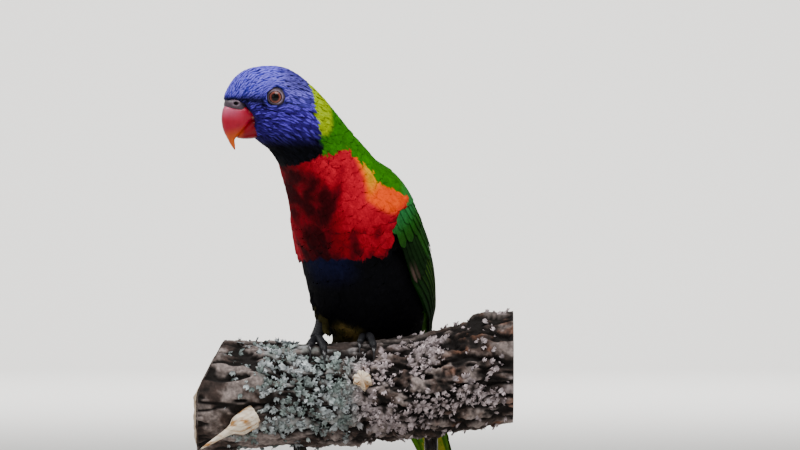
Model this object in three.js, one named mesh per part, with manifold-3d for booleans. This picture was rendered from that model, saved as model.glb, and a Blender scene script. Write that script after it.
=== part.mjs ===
// A rainbow lorikeet perched on a cut length of branch, as a life-size display model on a stand.
// Millimetres, +Z up. The bird looks towards -Y and -X; the branch runs along X.
import * as THREE from "three";
import { mergeVertices } from "three/addons/utils/BufferGeometryUtils.js";
import Module from "manifold-3d";

const wasm = await Module();
wasm.setup();

const DEG = Math.PI / 180;

// Driving dimensions of the stand and the branch
const GAP = 0.3; // left between pieces that meet
const BASE_LENGTH = 156;
const BASE_DEPTH = 124;
const BASE_THICK = 12;
const BASE_CORNER = 22;
const BASE_BEVEL = 2;
const ROD_RADIUS = 3.2;
const ROD_PLACES = [-22, 42]; // along X
const COLLAR_RADIUS = 7.5;
const COLLAR_HEIGHT = 5;
const PERCH_TOP = 136; // height of the branch's top under the bird
const PERCH_RADIUS = 25;
const PERCH_LEFT = -73;
const PERCH_END_SLANT = 14; // how far the left end leans back at its top
const PERCH_RIGHT = 82;

// Driving dimensions of the bird
const BODY_TURN = 40; // degrees from facing -Y towards -X
const HEAD_TURN = 35; // further degrees to its own right
const HEAD_CENTRE = [48.5, -8, 119.6]; // between the eyes, in the bird's frame
const FACE_EDGE = [
  [19.4, -2.6],
  [13.6, -3.7],
  [12.3, -6],
  [10.4, -9.4],
  [8.8, -13],
  [8.1, -16.2],
  [8.1, -26],
]; // where feathers end and the bill begins, from the cere down to the chin: ahead and up from between the eyes
const EYE_RADIUS = 4.4;
const EYE_OUT = 11.8; // from the head's middle to the eye's centre
const EYE_AHEAD = 14; // degrees that each eye looks ahead of straight sideways
const LID_RADIUS = 3.75; // of the raised lid round each eye
const LID_THICK = 1;
const LID_OUT = 2.9; // from the eye's centre to the lid's plane
const WING_THICK = 2.5; // of the folded wing under its feathers
const BLADE = 0.8; // thickness of a wing feather
const STEP = 0.45; // rise of each wing feather over the one below it
const TAIL_BLADE = 0.62;
const TAIL_STEP = 0.5;
const CLAW_LENGTH = 7;

// Stations along the body, from the tail's tip to the bill's base, in the bird's frame: forward, left and up from the
// branch's top between the feet. Half width, depth to the back and to the belly, and the degrees that the section's
// axis rises and is turned to the right.
const STATIONS = [
  { at: [-101, 0, -114], side: 8, back: 2.2, belly: 2.2, rise: 63, turn: 0 }, // tail's tip
  { at: [-72, 0, -57], side: 12.5, back: 3.4, belly: 3.4, rise: 62.5, turn: 0 }, // middle of the tail
  { at: [-45, 0, -5], side: 14.5, back: 8, belly: 8.5, rise: 62, turn: 0 }, // root of the tail
  { at: [-34, -0.8, 15], side: 24, back: 13.5, belly: 21.5, rise: 61, turn: 0 }, // vent
  { at: [-24, -1.5, 33], side: 30.2, back: 18, belly: 32.5, rise: 60, turn: 0 }, // lower belly
  { at: [-13, -1, 51], side: 30.5, back: 21, belly: 30, rise: 58, turn: 0 }, // middle of the body
  { at: [-2, -0.5, 68], side: 28.7, back: 20, belly: 27, rise: 55.5, turn: 0 }, // breast
  { at: [9, 0, 83], side: 23.5, back: 16.5, belly: 23, rise: 50.5, turn: 0 }, // shoulders
  { at: [21, 0.3, 96], side: 18.5, back: 15, belly: 21.6, rise: 42, turn: 5 }, // root of the neck
  { at: [35.5, 0.3, 108.5], side: 16.4, back: 16, belly: 21.8, rise: 28, turn: 20 }, // nape
  { at: [43.6, -4.6, 114.8], side: 16, back: 18.2, belly: 21.8, rise: 12, turn: HEAD_TURN }, // back of the skull
  { at: [51, -9.7, 115.1], side: 14.4, back: 18.6, belly: 19.3, rise: -4, turn: HEAD_TURN }, // cheeks
  { at: [56.3, -13.5, 113.1], side: 10.2, back: 18.8, belly: 15.2, rise: -16, turn: HEAD_TURN }, // lores
  { at: [60.4, -16.3, 109.4], side: 6, back: 12.2, belly: 11.8, rise: -38, turn: HEAD_TURN }, // bill's base
];
const TAIL_TIP = 0;
const TAIL_ROOT = 2;
const NECK_ROOT = 7.6; // where the torso ends and the neck begins
const NAPE = 9.15; // where the neck ends and the head begins
const BILL_BASE = 13;
const SQUARENESS = 2.2; // 2 is an ellipse

// Small helpers

const lerp = (a, b, u) => a + (b - a) * u;

const vec = (x, y, z) => new THREE.Vector3(x, y, z);

// Catmull-Rom through a list of numbers, at a place counted in list items.
function through(list, place) {
  const last = list.length - 1;
  const i = Math.min(Math.max(Math.floor(place), 0), last - 1);
  const u = place - i;
  const b = list[i];
  const c = list[i + 1];
  const a = i > 0 ? list[i - 1] : 2 * b - c;
  const d = i + 1 < last ? list[i + 2] : 2 * c - b;
  return 0.5 * (2 * b + (c - a) * u + (2 * a - 5 * b + 4 * c - d) * u * u + (3 * b - a - 3 * c + d) * u * u * u);
}

const power = (value, n) => Math.sign(value) * Math.abs(value) ** n;

// Closed mesh skinned over rings of equal length, and closed at both ends with a fan. The two halves of a ring are
// split the same way, so that a thin blade keeps its thickness.
function skinned(rings) {
  const n = rings[0].length;
  const points = rings.flat();
  const faces = [];
  for (let r = 0; r + 1 < rings.length; r += 1) {
    for (let i = 0; i < n; i += 1) {
      const j = (i + 1) % n;
      const [a, b, c, d] = [r * n + i, r * n + j, (r + 1) * n + i, (r + 1) * n + j];
      faces.push(...(i < n / 2 ? [[a, b, d], [a, d, c]] : [[a, b, c], [b, d, c]]));
    }
  }
  for (const [ring, first, flip] of [[rings[0], 0, true], [rings.at(-1), (rings.length - 1) * n, false]]) {
    const middle = points.length;
    points.push(ring.reduce((sum, p) => sum.add(p), vec(0, 0, 0)).divideScalar(n));
    for (let i = 0; i < n; i += 1) {
      const j = (i + 1) % n;
      faces.push(flip ? [middle, first + j, first + i] : [middle, first + i, first + j]);
    }
  }
  return closed(points, faces);
}

// A solid from points and triangles, turned to face outwards.
function closed(points, faces) {
  const volume = faces.reduce((sum, [a, b, c]) => {
    return sum + points[a].dot(points[b].clone().cross(points[c]));
  }, 0);
  const turned = volume < 0 ? faces.map(([a, b, c]) => [a, c, b]) : faces;
  const geometry = new THREE.BufferGeometry();
  geometry.setAttribute("position", new THREE.Float32BufferAttribute(points.flatMap((p) => [p.x, p.y, p.z]), 3));
  geometry.setIndex(turned.flat());
  return solid(geometry);
}

// A three.js geometry as a solid that can be joined and cut.
function solid(geometry, merge = 1e-4) {
  const bare = geometry.clone();
  bare.deleteAttribute("normal");
  bare.deleteAttribute("uv");
  const merged = mergeVertices(bare, merge);
  return new wasm.Manifold(
    new wasm.Mesh({
      numProp: 3,
      vertProperties: merged.attributes.position.array,
      triVerts: new Uint32Array(merged.index.array),
    }),
  );
}

const joined = (solids) => solids.reduce((sum, next) => sum.add(next));

const NEAR = 1e-3; // corners closer than this count as one

// The largest closed surface of a solid, as a geometry whose every edge has two faces, or null if it has none.
function largest(made) {
  let bodies = made.decompose();
  for (let round = 0; round < 4; round += 1) {
    const biggest = bodies.sort((a, b) => b.volume() - a.volume())[0];
    const loose = geometryOf(biggest).toNonIndexed();
    bodies = solid(loose, NEAR).decompose();
    if (bodies.length === 1) return everyEdgePaired(geometryOf(bodies[0]).toNonIndexed()) ? loose : null;
  }
  return null;
}

function everyEdgePaired(loose) {
  const { array } = loose.attributes.position;
  const key = (corner) => [0, 1, 2].map((axis) => array[corner * 3 + axis].toFixed(4)).join();
  const uses = new Map();
  for (let corner = 0; corner < array.length / 3; corner += 3) {
    const keys = [0, 1, 2].map((k) => key(corner + k));
    for (let k = 0; k < 3 && new Set(keys).size === 3; k += 1) {
      const edge = [keys[k], keys[(k + 1) % 3]].sort().join(" ");
      uses.set(edge, (uses.get(edge) ?? 0) + 1);
    }
  }
  return [...uses.values()].every((count) => count === 2);
}

function geometryOf(made) {
  const { vertProperties, triVerts } = made.getMesh();
  const geometry = new THREE.BufferGeometry();
  geometry.setAttribute("position", new THREE.BufferAttribute(vertProperties, 3));
  geometry.setIndex(new THREE.BufferAttribute(triVerts, 1));
  return geometry;
}

function ball(centre, radius, around = 16, down = 10) {
  return solid(new THREE.SphereGeometry(radius, around, down)).translate(centre.x, centre.y, centre.z);
}

// A tapering tube over a list of { at, radius }, with rings square to its line.
function tube(stops, around = 8) {
  const line = new THREE.CatmullRomCurve3(stops.map((s) => s.at));
  const rings = stops.map((stop, i) => {
    const ahead = line.getTangent(i / (stops.length - 1));
    const across = Math.abs(ahead.z) > 0.9 ? vec(1, 0, 0).cross(ahead) : vec(0, 0, 1).cross(ahead);
    const side = across.normalize();
    const up = ahead.clone().cross(side);
    return Array.from({ length: around }, (_, k) => {
      const angle = (2 * Math.PI * k) / around;
      return stop.at
        .clone()
        .addScaledVector(side, stop.radius * Math.cos(angle))
        .addScaledVector(up, stop.radius * Math.sin(angle) * (stop.flat ?? 1));
    });
  });
  return skinned(rings);
}

// The body's skin: a rounded section carried along the stations

const column = (read) => STATIONS.map(read);
const SPINE = [0, 1, 2].map((axis) => column((s) => s.at[axis]));
const SIDE = column((s) => s.side);
const BACK = column((s) => s.back);
const BELLY = column((s) => s.belly);
const RISE = column((s) => s.rise);
const TURN = column((s) => s.turn);

const spineAt = (place) => vec(...SPINE.map((list) => through(list, place)));

// The section's centre and its three directions: left, up the back, and ahead.
function frameAt(place) {
  const rise = through(RISE, place) * DEG;
  const turn = through(TURN, place) * DEG;
  const left = vec(Math.sin(turn), Math.cos(turn), 0);
  const ahead = vec(Math.cos(rise) * Math.cos(turn), -Math.cos(rise) * Math.sin(turn), Math.sin(rise));
  return { centre: spineAt(place), ahead, left, up: ahead.clone().cross(left) };
}

// A point of the skin. The angle is 0 at the bird's left, 90 along the back, 180 at its right and -90 on the belly.
function skinPoint(place, degrees, grow = 0) {
  const { centre, left, up } = frameAt(place);
  const c = power(Math.cos(degrees * DEG), 2 / SQUARENESS);
  const s = power(Math.sin(degrees * DEG), 2 / SQUARENESS);
  const depth = s > 0 ? through(BACK, place) : through(BELLY, place);
  return centre.addScaledVector(left, (through(SIDE, place) + grow) * c).addScaledVector(up, (depth + grow) * s);
}

function skinRing(place, around, grow = 0) {
  return Array.from({ length: around }, (_, k) => skinPoint(place, (360 * k) / around, grow));
}

// A length of the body between two places, grown by a margin.
function bodyLength(from, to, steps, around, grow = 0) {
  return skinned(Array.from({ length: steps + 1 }, (_, i) => skinRing(lerp(from, to, i / steps), around, grow)));
}

const HALF_CUT = 0.012; // half of the thin cut between torso, neck and head, counted in stations

const TORSO_STEPS = 13;
const TORSO_AROUND = 26;

function makeTorso() {
  return bodyLength(TAIL_ROOT, NECK_ROOT - HALF_CUT, TORSO_STEPS, TORSO_AROUND);
}

// The torso grown by the gap, which wings, thighs and feet are cut clear of.
const torsoRoom = () => bodyLength(TAIL_ROOT, NECK_ROOT - HALF_CUT, TORSO_STEPS, TORSO_AROUND, GAP);

const torsoPlaces = () => {
  return Array.from({ length: TORSO_STEPS + 1 }, (_, i) => lerp(TAIL_ROOT, NECK_ROOT - HALF_CUT, i / TORSO_STEPS));
};

function makeNeck() {
  return bodyLength(NECK_ROOT + HALF_CUT, NAPE - 2 * HALF_CUT, 6, 28);
}

// Head: the skin's front end, with sockets and a raised lid round each eye.

// A point of the head's own frame: ahead to the bill, left, and up, from between the eyes.
function headPoint(ahead, left, up) {
  const turn = HEAD_TURN * DEG;
  return vec(
    HEAD_CENTRE[0] + ahead * Math.cos(turn) + left * Math.sin(turn),
    HEAD_CENTRE[1] - ahead * Math.sin(turn) + left * Math.cos(turn),
    HEAD_CENTRE[2] + up,
  );
}

function lid(side) {
  const turn = EYE_AHEAD * DEG;
  const ring = new THREE.TorusGeometry(LID_RADIUS, LID_THICK, 5, 16);
  ring.rotateX(90 * DEG).rotateZ(-side * turn - HEAD_TURN * DEG);
  const place = headPoint(LID_OUT * Math.sin(turn), side * (EYE_OUT + LID_OUT * Math.cos(turn)), 0);
  return solid(ring).translate(place.x, place.y, place.z);
}

// The room in front of the face that the bill and cere fill, wider than the head.
function billRoom(grow) {
  const front = 30;
  const low = -26;
  const outline = new THREE.Shape();
  FACE_EDGE.forEach(([ahead, up], i) => outline[i ? "lineTo" : "moveTo"](ahead - grow, up + grow * (i === 0 ? 1 : 0)));
  outline.lineTo(front, low).lineTo(front, FACE_EDGE[0][1] + grow);
  const block = new THREE.ExtrudeGeometry(outline, { depth: 2 * front, bevelEnabled: false });
  block.rotateX(Math.PI / 2).translate(0, front, 0).rotateZ(-HEAD_TURN * DEG).translate(...HEAD_CENTRE);
  return solid(block);
}

function makeHead() {
  const shell = bodyLength(NAPE + 2 * HALF_CUT, BILL_BASE, 13, 28).subtract(billRoom(0));
  const lids = joined([lid(1), lid(-1)]);
  const sockets = joined([1, -1].map((side) => ball(headPoint(0, side * EYE_OUT, 0), EYE_RADIUS + GAP, 16, 11)));
  return shell.add(lids).subtract(sockets);
}

function makeEye(side) {
  return ball(headPoint(0, side * EYE_OUT, 0), EYE_RADIUS, 16, 11);
}

// Bill: sections between an upper and a lower outline, both in the head's own frame (ahead, up).
function billRings(outline, around = 16) {
  const count = outline.length;
  return outline.map(({ top, under, half }, i) => {
    const middle = [(top[0] + under[0]) / 2, (top[1] + under[1]) / 2];
    const reach = [(top[0] - under[0]) / 2, (top[1] - under[1]) / 2];
    return Array.from({ length: around }, (_, k) => {
      const angle = (2 * Math.PI * k) / around;
      const c = power(Math.cos(angle), i + 1 < count ? 0.85 : 1);
      const s = Math.sin(angle);
      return headPoint(middle[0] + reach[0] * s, half * c, middle[1] + reach[1] * s);
    });
  });
}

const UPPER_BILL = [
  { top: [17.5, -4.5], under: [8, -11.3], half: 6.9 },
  { top: [21.6, -5.6], under: [9.4, -12.6], half: 7 },
  { top: [22.6, -9.6], under: [10.8, -14.6], half: 6.4 },
  { top: [22.5, -13.6], under: [12.7, -17], half: 5.1 },
  { top: [21.6, -17.3], under: [15, -19.4], half: 3.5 },
  { top: [20.1, -20.5], under: [16.9, -21.3], half: 2.1 },
  { top: [18.6, -23.4], under: [17.1, -23.4], half: 1.1 },
  { top: [17.4, -25.8], under: [17, -25.6], half: 0.3 },
];

const LOWER_BILL = [
  { top: [7.4, -12], under: [6.6, -20.6], half: 6 },
  { top: [9.4, -13], under: [9.2, -20.9], half: 5.8 },
  { top: [12.6, -16], under: [12.2, -20.9], half: 4.8 },
  { top: [15.2, -19], under: [14.9, -20.6], half: 3 },
];

const CERE = [
  { top: [19.6, -1.4], under: [10.4, -2.4], half: 5.6 },
  { top: [21, -2.6], under: [10.6, -4.3], half: 6.9 },
  { top: [21.4, -4.3], under: [10.4, -6.6], half: 7.1 },
];
const NOSTRIL = { at: [17, -3], side: 4.6, radius: 1.3 };

function bill(outline) {
  return skinned(billRings(outline)).intersect(billRoom(-GAP));
}

function makeCere() {
  const holes = [1, -1].map((side) => {
    return ball(headPoint(NOSTRIL.at[0], side * NOSTRIL.side, NOSTRIL.at[1]), NOSTRIL.radius, 8, 6);
  });
  return bill(CERE).subtract(joined(holes));
}

// The upper bill starts under the cere.
function makeUpperBill() {
  const under = CERE.map(({ top, under, half }, i) => ({
    top: [top[0] + 1, top[1] - (i + 1 === CERE.length ? GAP : 0)],
    under: [under[0] - 2, under[1] - (i + 1 === CERE.length ? GAP : 0)],
    half: half + 1,
  }));
  return bill(UPPER_BILL).subtract(skinned(billRings(under)));
}

function makeLowerBill() {
  const above = UPPER_BILL.map(({ top, under, half }) => ({
    top,
    under: [under[0] - GAP * 0.6, under[1] - GAP * 0.8],
    half: half + GAP,
  }));
  return bill(LOWER_BILL).subtract(skinned(billRings(above)));
}

// Wing: a folded sheet that lies on the skin from the bend of the wing to its tip, with feathers in tiers over it.
// Places and degrees of its two edges.
const WING_EDGE = [
  { place: 0.7, low: 34, high: 72, thick: 0.2 },
  { place: 1, low: 32, high: 78, thick: 0.25 },
  { place: 1.5, low: 21, high: 84, thick: 0.45 },
  { place: 2.2, low: 9, high: 86, thick: 0.75 },
  { place: 3, low: -5, high: 84, thick: 0.95 },
  { place: 4, low: -13, high: 79, thick: 1 },
  { place: 5, low: -12, high: 73, thick: 1 },
  { place: 5.9, low: -2, high: 66, thick: 0.95 },
  { place: 6.35, low: 10, high: 57, thick: 0.65 },
  { place: 6.6, low: 24, high: 48, thick: 0.3 },
];
const WING_CORE_END = 1.25; // the sheet stops here, and the longest feathers go on alone

// Straight-line reading of a table that is sorted by its key.
function read(table, key, name, value) {
  const at = Math.min(Math.max(value, table[0][key]), table.at(-1)[key]);
  const i = Math.max(1, table.findIndex((row) => row[key] >= at));
  const [a, b] = [table[i - 1], table[i]];
  return lerp(a[name], b[name], (at - a[key]) / (b[key] - a[key]));
}

const wingDegrees = (place, lane) => {
  return lerp(read(WING_EDGE, "place", "low", place), read(WING_EDGE, "place", "high", place), lane);
};

// Height of the sheet over the skin. The lane is 0 at the wing's lower edge and 1 at its upper one.
function wingRise(place, lane) {
  const round = 0.3 + 0.7 * Math.sin(Math.PI * lerp(0.14, 0.9, Math.min(Math.max(lane, 0), 1)));
  return GAP + WING_THICK * read(WING_EDGE, "place", "thick", place) * round;
}

const onSide = (side, degrees) => (side > 0 ? degrees : 180 - degrees);

const WING_PLACES = [1, WING_CORE_END, 1.6, ...torsoPlaces().filter((place) => place < 6.5)]; // rings lie here

function wingSheet(side) {
  const across = 6;
  const places = [...WING_PLACES.slice(1), WING_EDGE.at(-1).place];
  const rings = places.map((place) => {
    const lanes = Array.from({ length: across + 1 }, (_, k) => k / across);
    const point = (lane, rise) => skinPoint(place, onSide(side, wingDegrees(place, lane)), rise);
    return [
      ...lanes.map((lane) => point(lane, 1.6 * GAP)),
      ...lanes.reverse().map((lane) => point(lane, wingRise(place, lane))),
    ];
  });
  return skinned(rings);
}

// Outline of a feather: half its width at a share of its length, as a share of its greatest half width.
const BLUNT = [
  { share: 0, wide: 0.7 },
  { share: 0.55, wide: 1 },
  { share: 0.9, wide: 0.72 },
  { share: 1, wide: 0.22 },
];
const SHARP = [
  { share: 0, wide: 0.6 },
  { share: 0.3, wide: 1 },
  { share: 0.7, wide: 0.92 },
  { share: 0.9, wide: 0.55 },
  { share: 1, wide: 0.12 },
];

// A feather of the wing, as a wedge: its outer edge stands off, and its inner edge is sunk under the next feather.
// Its rings lie where the sheet's do, so that both follow the body alike.
function wingFeather(side, { lane, from, to, half, stand, shape, over = 0 }, nudge) {
  const between = WING_PLACES.filter((place) => place > to + 0.2 && place < from - 0.15).reverse();
  const rings = [from, ...between, lerp(to, from, 0.06), to].map((place) => {
    const share = (from - place) / (from - to);
    const middle = wingDegrees(place, lane(place));
    const radius = skinPoint(place, onSide(side, middle)).distanceTo(spineAt(place));
    const reach = (half * read(shape, "share", "wide", share) + nudge * 0.011 * (1 + lane(place))) / radius / DEG;
    const base = wingRise(place, lane(place)) + over * share - (share === 0 ? 1.1 : 0) + nudge * 0.007 * share;
    const point = (degrees, rise) => skinPoint(place, onSide(side, degrees), Math.max(rise, 2.5 * GAP));
    return [
      point(middle - reach, base + stand),
      point(middle + reach, base - 0.5),
      point(middle - reach, base + stand - BLADE),
    ];
  });
  return skinned(rings);
}

const LONG_FEATHERS = 6; // primaries
const SHORT_FEATHERS = 6; // secondaries and tertials

// Lanes of the primaries spread from a narrow band beside the lower edge to the wing's whole width at its tip.
function primary(i) {
  const u = i / (LONG_FEATHERS - 1);
  const lane = (place) => {
    const open = Math.min(Math.max((4.2 - place) / 2.6, 0), 1);
    return lerp(lerp(0.03, 0.32, u), lerp(0.12, 0.84, u), open);
  };
  return { lane, from: 4.9, to: lerp(0.98, 2.05, u ** 1.15), half: lerp(2.9, 3.9, u), stand: STEP, shape: SHARP };
}

function secondary(i) {
  const u = i / (SHORT_FEATHERS - 1);
  const lane = (place) => lerp(lerp(0.36, 0.9, u), lerp(0.5, 0.9, u), Math.min(Math.max((4.5 - place) / 2, 0), 1));
  return { lane, from: 5.2, to: lerp(2.35, 3.25, u), half: lerp(4.4, 5.2, u), stand: STEP + 0.2, shape: BLUNT };
}

// Rows of coverts, each laid over the roots of the row behind it.
const COVERTS = [
  { count: 2, first: 0.06, last: 0.2, from: 5.3, to: 3.95, half: 3.6, over: 0.9 },
  { count: 5, first: 0.32, last: 0.92, from: 5.6, to: 4.4, half: 5.4, over: 1 },
  { count: 4, first: 0.14, last: 0.84, from: 6, to: 5.05, half: 6.2, over: 1.1 },
  { count: 3, first: 0.22, last: 0.8, from: 6.35, to: 5.65, half: 6.2, over: 0.9 },
];

function covertRow({ count, first, last, from, to, half, over }) {
  return Array.from({ length: count }, (_, i) => {
    const lane = () => lerp(first, last, i / (count - 1));
    return { lane, from, to, half, stand: STEP, shape: BLUNT, over };
  });
}

const WING_FEATHERS = [
  ...Array.from({ length: LONG_FEATHERS }, (_, i) => primary(i)),
  ...Array.from({ length: SHORT_FEATHERS }, (_, i) => secondary(i)),
  ...COVERTS.flatMap(covertRow),
];

function makeWing(side, nudge) {
  const feathers = WING_FEATHERS.map((feather) => wingFeather(side, feather, nudge));
  return joined([wingSheet(side), ...feathers]);
}

// Tail: six pairs of long feathers, the middle pair on top and longest, on a root that is covered by short feathers.
const TAIL_PAIRS = 6;
const TAIL_BASE = TAIL_ROOT - 0.02;

function tailCore(grow) {
  const stops = [
    [TAIL_BASE, 12.8, 6.6, 7.2],
    [1.8, 12.4, 4.6, 5.4],
    [1.5, 11.6, 2.6, 4],
    [1.15, 8.5, 1.2, 2.4],
  ];
  const rings = stops.map(([place, side, back, belly]) => {
    const { centre, left, up } = frameAt(place);
    return Array.from({ length: 16 }, (_, k) => {
      const angle = (2 * Math.PI * k) / 16;
      const high = (Math.sin(angle) > 0 ? back : belly) + grow;
      return centre.clone().addScaledVector(left, (side + grow) * Math.cos(angle)).addScaledVector(up, high * Math.sin(angle));
    });
  });
  return skinned(rings);
}

function tailFeather(pair, side, grow, nudge) {
  const tip = lerp(0, 0.95, (pair / (TAIL_PAIRS - 1)) ** 1.2);
  const rings = SHARP.map(({ share, wide }) => {
    const place = lerp(TAIL_BASE, tip, share);
    const { centre, left, up } = frameAt(place);
    const gather = lerp(0.75, 1, Math.min(1, share * 2)) * lerp(1, 0.72, share); // closer together at root and tip
    const middle = side * (2.1 + 1.75 * pair) * gather;
    const half = 4.9 * wide + grow + nudge * 0.013 * (1 + pair);
    const top = 1.5 - TAIL_STEP * pair - (side > 0 ? 0 : 0.18) + grow;
    const point = (x, z) => centre.clone().addScaledVector(left, x).addScaledVector(up, z - 0.012 * x * x);
    const thick = TAIL_BLADE + 2 * grow;
    return [
      point(middle - half, top),
      point(middle + half, top),
      point(middle + half, top - thick),
      point(middle - half, top - thick),
    ];
  });
  return skinned(rings);
}

function tailSolid(grow, nudge) {
  const feathers = Array.from({ length: TAIL_PAIRS }, (_, pair) => {
    return [1, -1].map((side) => tailFeather(pair, side, grow, nudge));
  });
  return joined([tailCore(grow), ...feathers.flat()]);
}

const makeTail = (nudge) => tailSolid(0, nudge);

// Legs. Each foot stands on the branch, in world coordinates.
const FEET = [
  { name: "left", at: [10, 5], ankle: [-13, 7, 7], knee: [-11, 13, 22] },
  { name: "right", at: [-14, 3.5], ankle: [1, -12.5, 9], knee: [-3, -14, 26] },
];
const TOE_RADIUS = 1.9;
const TOES = [
  { across: -0.16, reach: 17, thin: 0.9 }, // inner front toe
  { across: 0.2, reach: 21, thin: 1 }, // outer front toe
  { across: -0.42, reach: -11, thin: 0.85 }, // inner back toe
  { across: 0.42, reach: -17, thin: 0.95 }, // outer back toe
];

const bird = new THREE.Group();
bird.rotation.z = -(90 + BODY_TURN) * DEG;
bird.position.z = PERCH_TOP;
bird.updateMatrixWorld(true);
const toWorld = (point) => bird.localToWorld(vec(...point));
const solidToWorld = (made) => made.transform(bird.matrixWorld.elements);

function thighSolid({ ankle, knee }, grow) {
  const stops = [
    [0.02, 3],
    [0.25, 5.2],
    [0.6, 7.6],
    [1, 8.6],
  ].map(([u, radius]) => ({ at: vec(...ankle).lerp(vec(...knee), u - grow * 0.05), radius: radius + grow }));
  return tube(stops, 12);
}

const makeThigh = (foot) => thighSolid(foot, 0).subtract(torsoRoom());

// Branch: a bent, knotty round bar. Its line, in world coordinates, and its bark's outline.
const PERCH_SLOPE = 0.03;
const PERCH_BEND = 0.0012;
const KNOTS = [
  { x: -40, degrees: 60, high: 3.2, wide: 14 },
  { x: -58, degrees: -20, high: 3, wide: 12 },
  { x: 34, degrees: 110, high: 2.4, wide: 15 },
  { x: 66, degrees: 20, high: 3.4, wide: 16 },
];

const perchLine = (x) => vec(x, 0, PERCH_TOP - PERCH_RADIUS + PERCH_SLOPE * x + PERCH_BEND * Math.max(0, x + 10) ** 2);

// Radius of the bark. Degrees are 0 at the top and 90 towards -Y.
function barkRadius(x, degrees) {
  const a = degrees * DEG;
  const ridges = 0.55 * Math.sin(5 * a + x * 0.11) + 0.4 * Math.sin(9 * a - x * 0.19 + 1) + 0.35 * Math.sin(x * 0.31 + 2 * a);
  const knots = KNOTS.reduce((sum, k) => {
    const away = Math.hypot(x - k.x, (((degrees - k.degrees + 540) % 360) - 180) * DEG * PERCH_RADIUS);
    return sum + k.high * Math.exp(-((away / k.wide) ** 2));
  }, 0);
  const flat = Math.exp(-((x / 26) ** 2)) * Math.exp(-((a / 1.1) ** 2)); // even where the feet grip
  const swell = 1.6 * Math.min(1, (x / 70) ** 2);
  return PERCH_RADIUS + (ridges + knots) * (1 - flat) + swell;
}

function barkPoint(x, degrees, grow = 0) {
  const r = barkRadius(x, degrees) + grow;
  const a = degrees * DEG;
  return perchLine(x).add(vec(0, -Math.sin(a) * r, Math.cos(a) * r));
}

function makePerch(grow = 0) {
  const around = 22;
  const steps = 17;
  const wrap = (x, shrink) =>
    Array.from({ length: around }, (_, k) => {
      const degrees = (((360 * k) / around + 180) % 360) - 180;
      const leftness = Math.max(0, 1 - (x - PERCH_LEFT) / (2 * PERCH_END_SLANT));
      const slanted = x + PERCH_END_SLANT * leftness * Math.max(0, Math.cos(degrees * DEG)) ** 1.5;
      return barkPoint(slanted, degrees, grow).lerp(perchLine(slanted), shrink);
    });
  const rings = Array.from({ length: steps + 1 }, (_, i) => wrap(lerp(PERCH_LEFT + 5, PERCH_RIGHT, i / steps), 0));
  return skinned([wrap(PERCH_LEFT - grow, 0.45), wrap(PERCH_LEFT + 1.2, 0.2), ...rings]);
}

function makeFoot(foot) {
  const { at, ankle } = foot;
  const [x, y] = at;
  const middle = (Math.asin(-y / PERCH_RADIUS) / DEG);
  const onBark = (dx, along, rise) => barkPoint(x + dx, middle + (along / PERCH_RADIUS) / DEG, rise);
  const shank = tube(
    [
      { at: toWorld(ankle), radius: 2.7 },
      { at: toWorld(ankle).lerp(onBark(0, 0, TOE_RADIUS + 1), 0.5), radius: 2.2 },
      { at: onBark(0, 0, TOE_RADIUS + 0.9), radius: 2.6 },
    ],
    8,
  );
  const sole = ball(onBark(0, 0, TOE_RADIUS + 0.5), 3.1, 10, 8);
  const toes = TOES.map(({ across, reach, thin }) => {
    const stops = [0, 0.25, 0.5, 0.75, 1].map((u) => ({
      at: onBark(across * Math.abs(reach) * u, reach * u, TOE_RADIUS * thin + GAP + 0.1),
      radius: TOE_RADIUS * thin * (u === 0.25 || u === 0.75 ? 0.88 : 1.04) * (u === 1 ? 0.85 : 1),
    }));
    return tube(stops, 8);
  });
  const feathers = solidToWorld(torsoRoom().add(thighSolid(foot, GAP)));
  return joined([shank, sole, ...toes]).subtract(makePerch(GAP)).subtract(feathers);
}

function makeClaw({ at }, { across, reach, thin }) {
  const [x, y] = at;
  const middle = (Math.asin(-y / PERCH_RADIUS) / DEG);
  const way = Math.sign(reach);
  const stops = [0, 0.35, 0.7, 1].map((u) => {
    const along = reach + way * (GAP + TOE_RADIUS * 0.55 + CLAW_LENGTH * 0.85 * u);
    const rise = GAP + 0.15 + (TOE_RADIUS + 1.1 * Math.sin(Math.PI * u)) * (1 - 0.75 * u * u);
    return {
      at: barkPoint(x + across * Math.abs(reach), middle + (along / PERCH_RADIUS) / DEG, rise),
      radius: lerp(1.35, 0.22, u) * thin,
    };
  });
  return tube(stops, 8).subtract(makePerch(GAP));
}

// Stubs of two broken side twigs on the branch's near side.
const CUT_STUB = { x: 8.6, degrees: 76, radius: 4.4, out: 3.5 };
const SPIKE = { x: -44, degrees: 112, radius: 5, out: 24 };

function makeCutStub() {
  const { x, degrees, radius, out } = CUT_STUB;
  const stops = [-3, 0.5, out].map((rise, i) => ({ at: barkPoint(x, degrees, rise), radius: radius * [1.15, 1, 0.9][i] }));
  return tube(stops, 10).subtract(makePerch(GAP));
}

function makeSpike() {
  const { x, degrees, radius, out } = SPIKE;
  const root = barkPoint(x, degrees, -3);
  const point = barkPoint(x, degrees, 3).add(vec(-out, -3, -out * 0.55));
  const stops = [0, 0.3, 0.55, 1].map((u, i) => ({ at: root.clone().lerp(point, u), radius: radius * [1.1, 0.85, 0.4, 0.16][i] }));
  return tube(stops, 10).subtract(makePerch(GAP));
}

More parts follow.
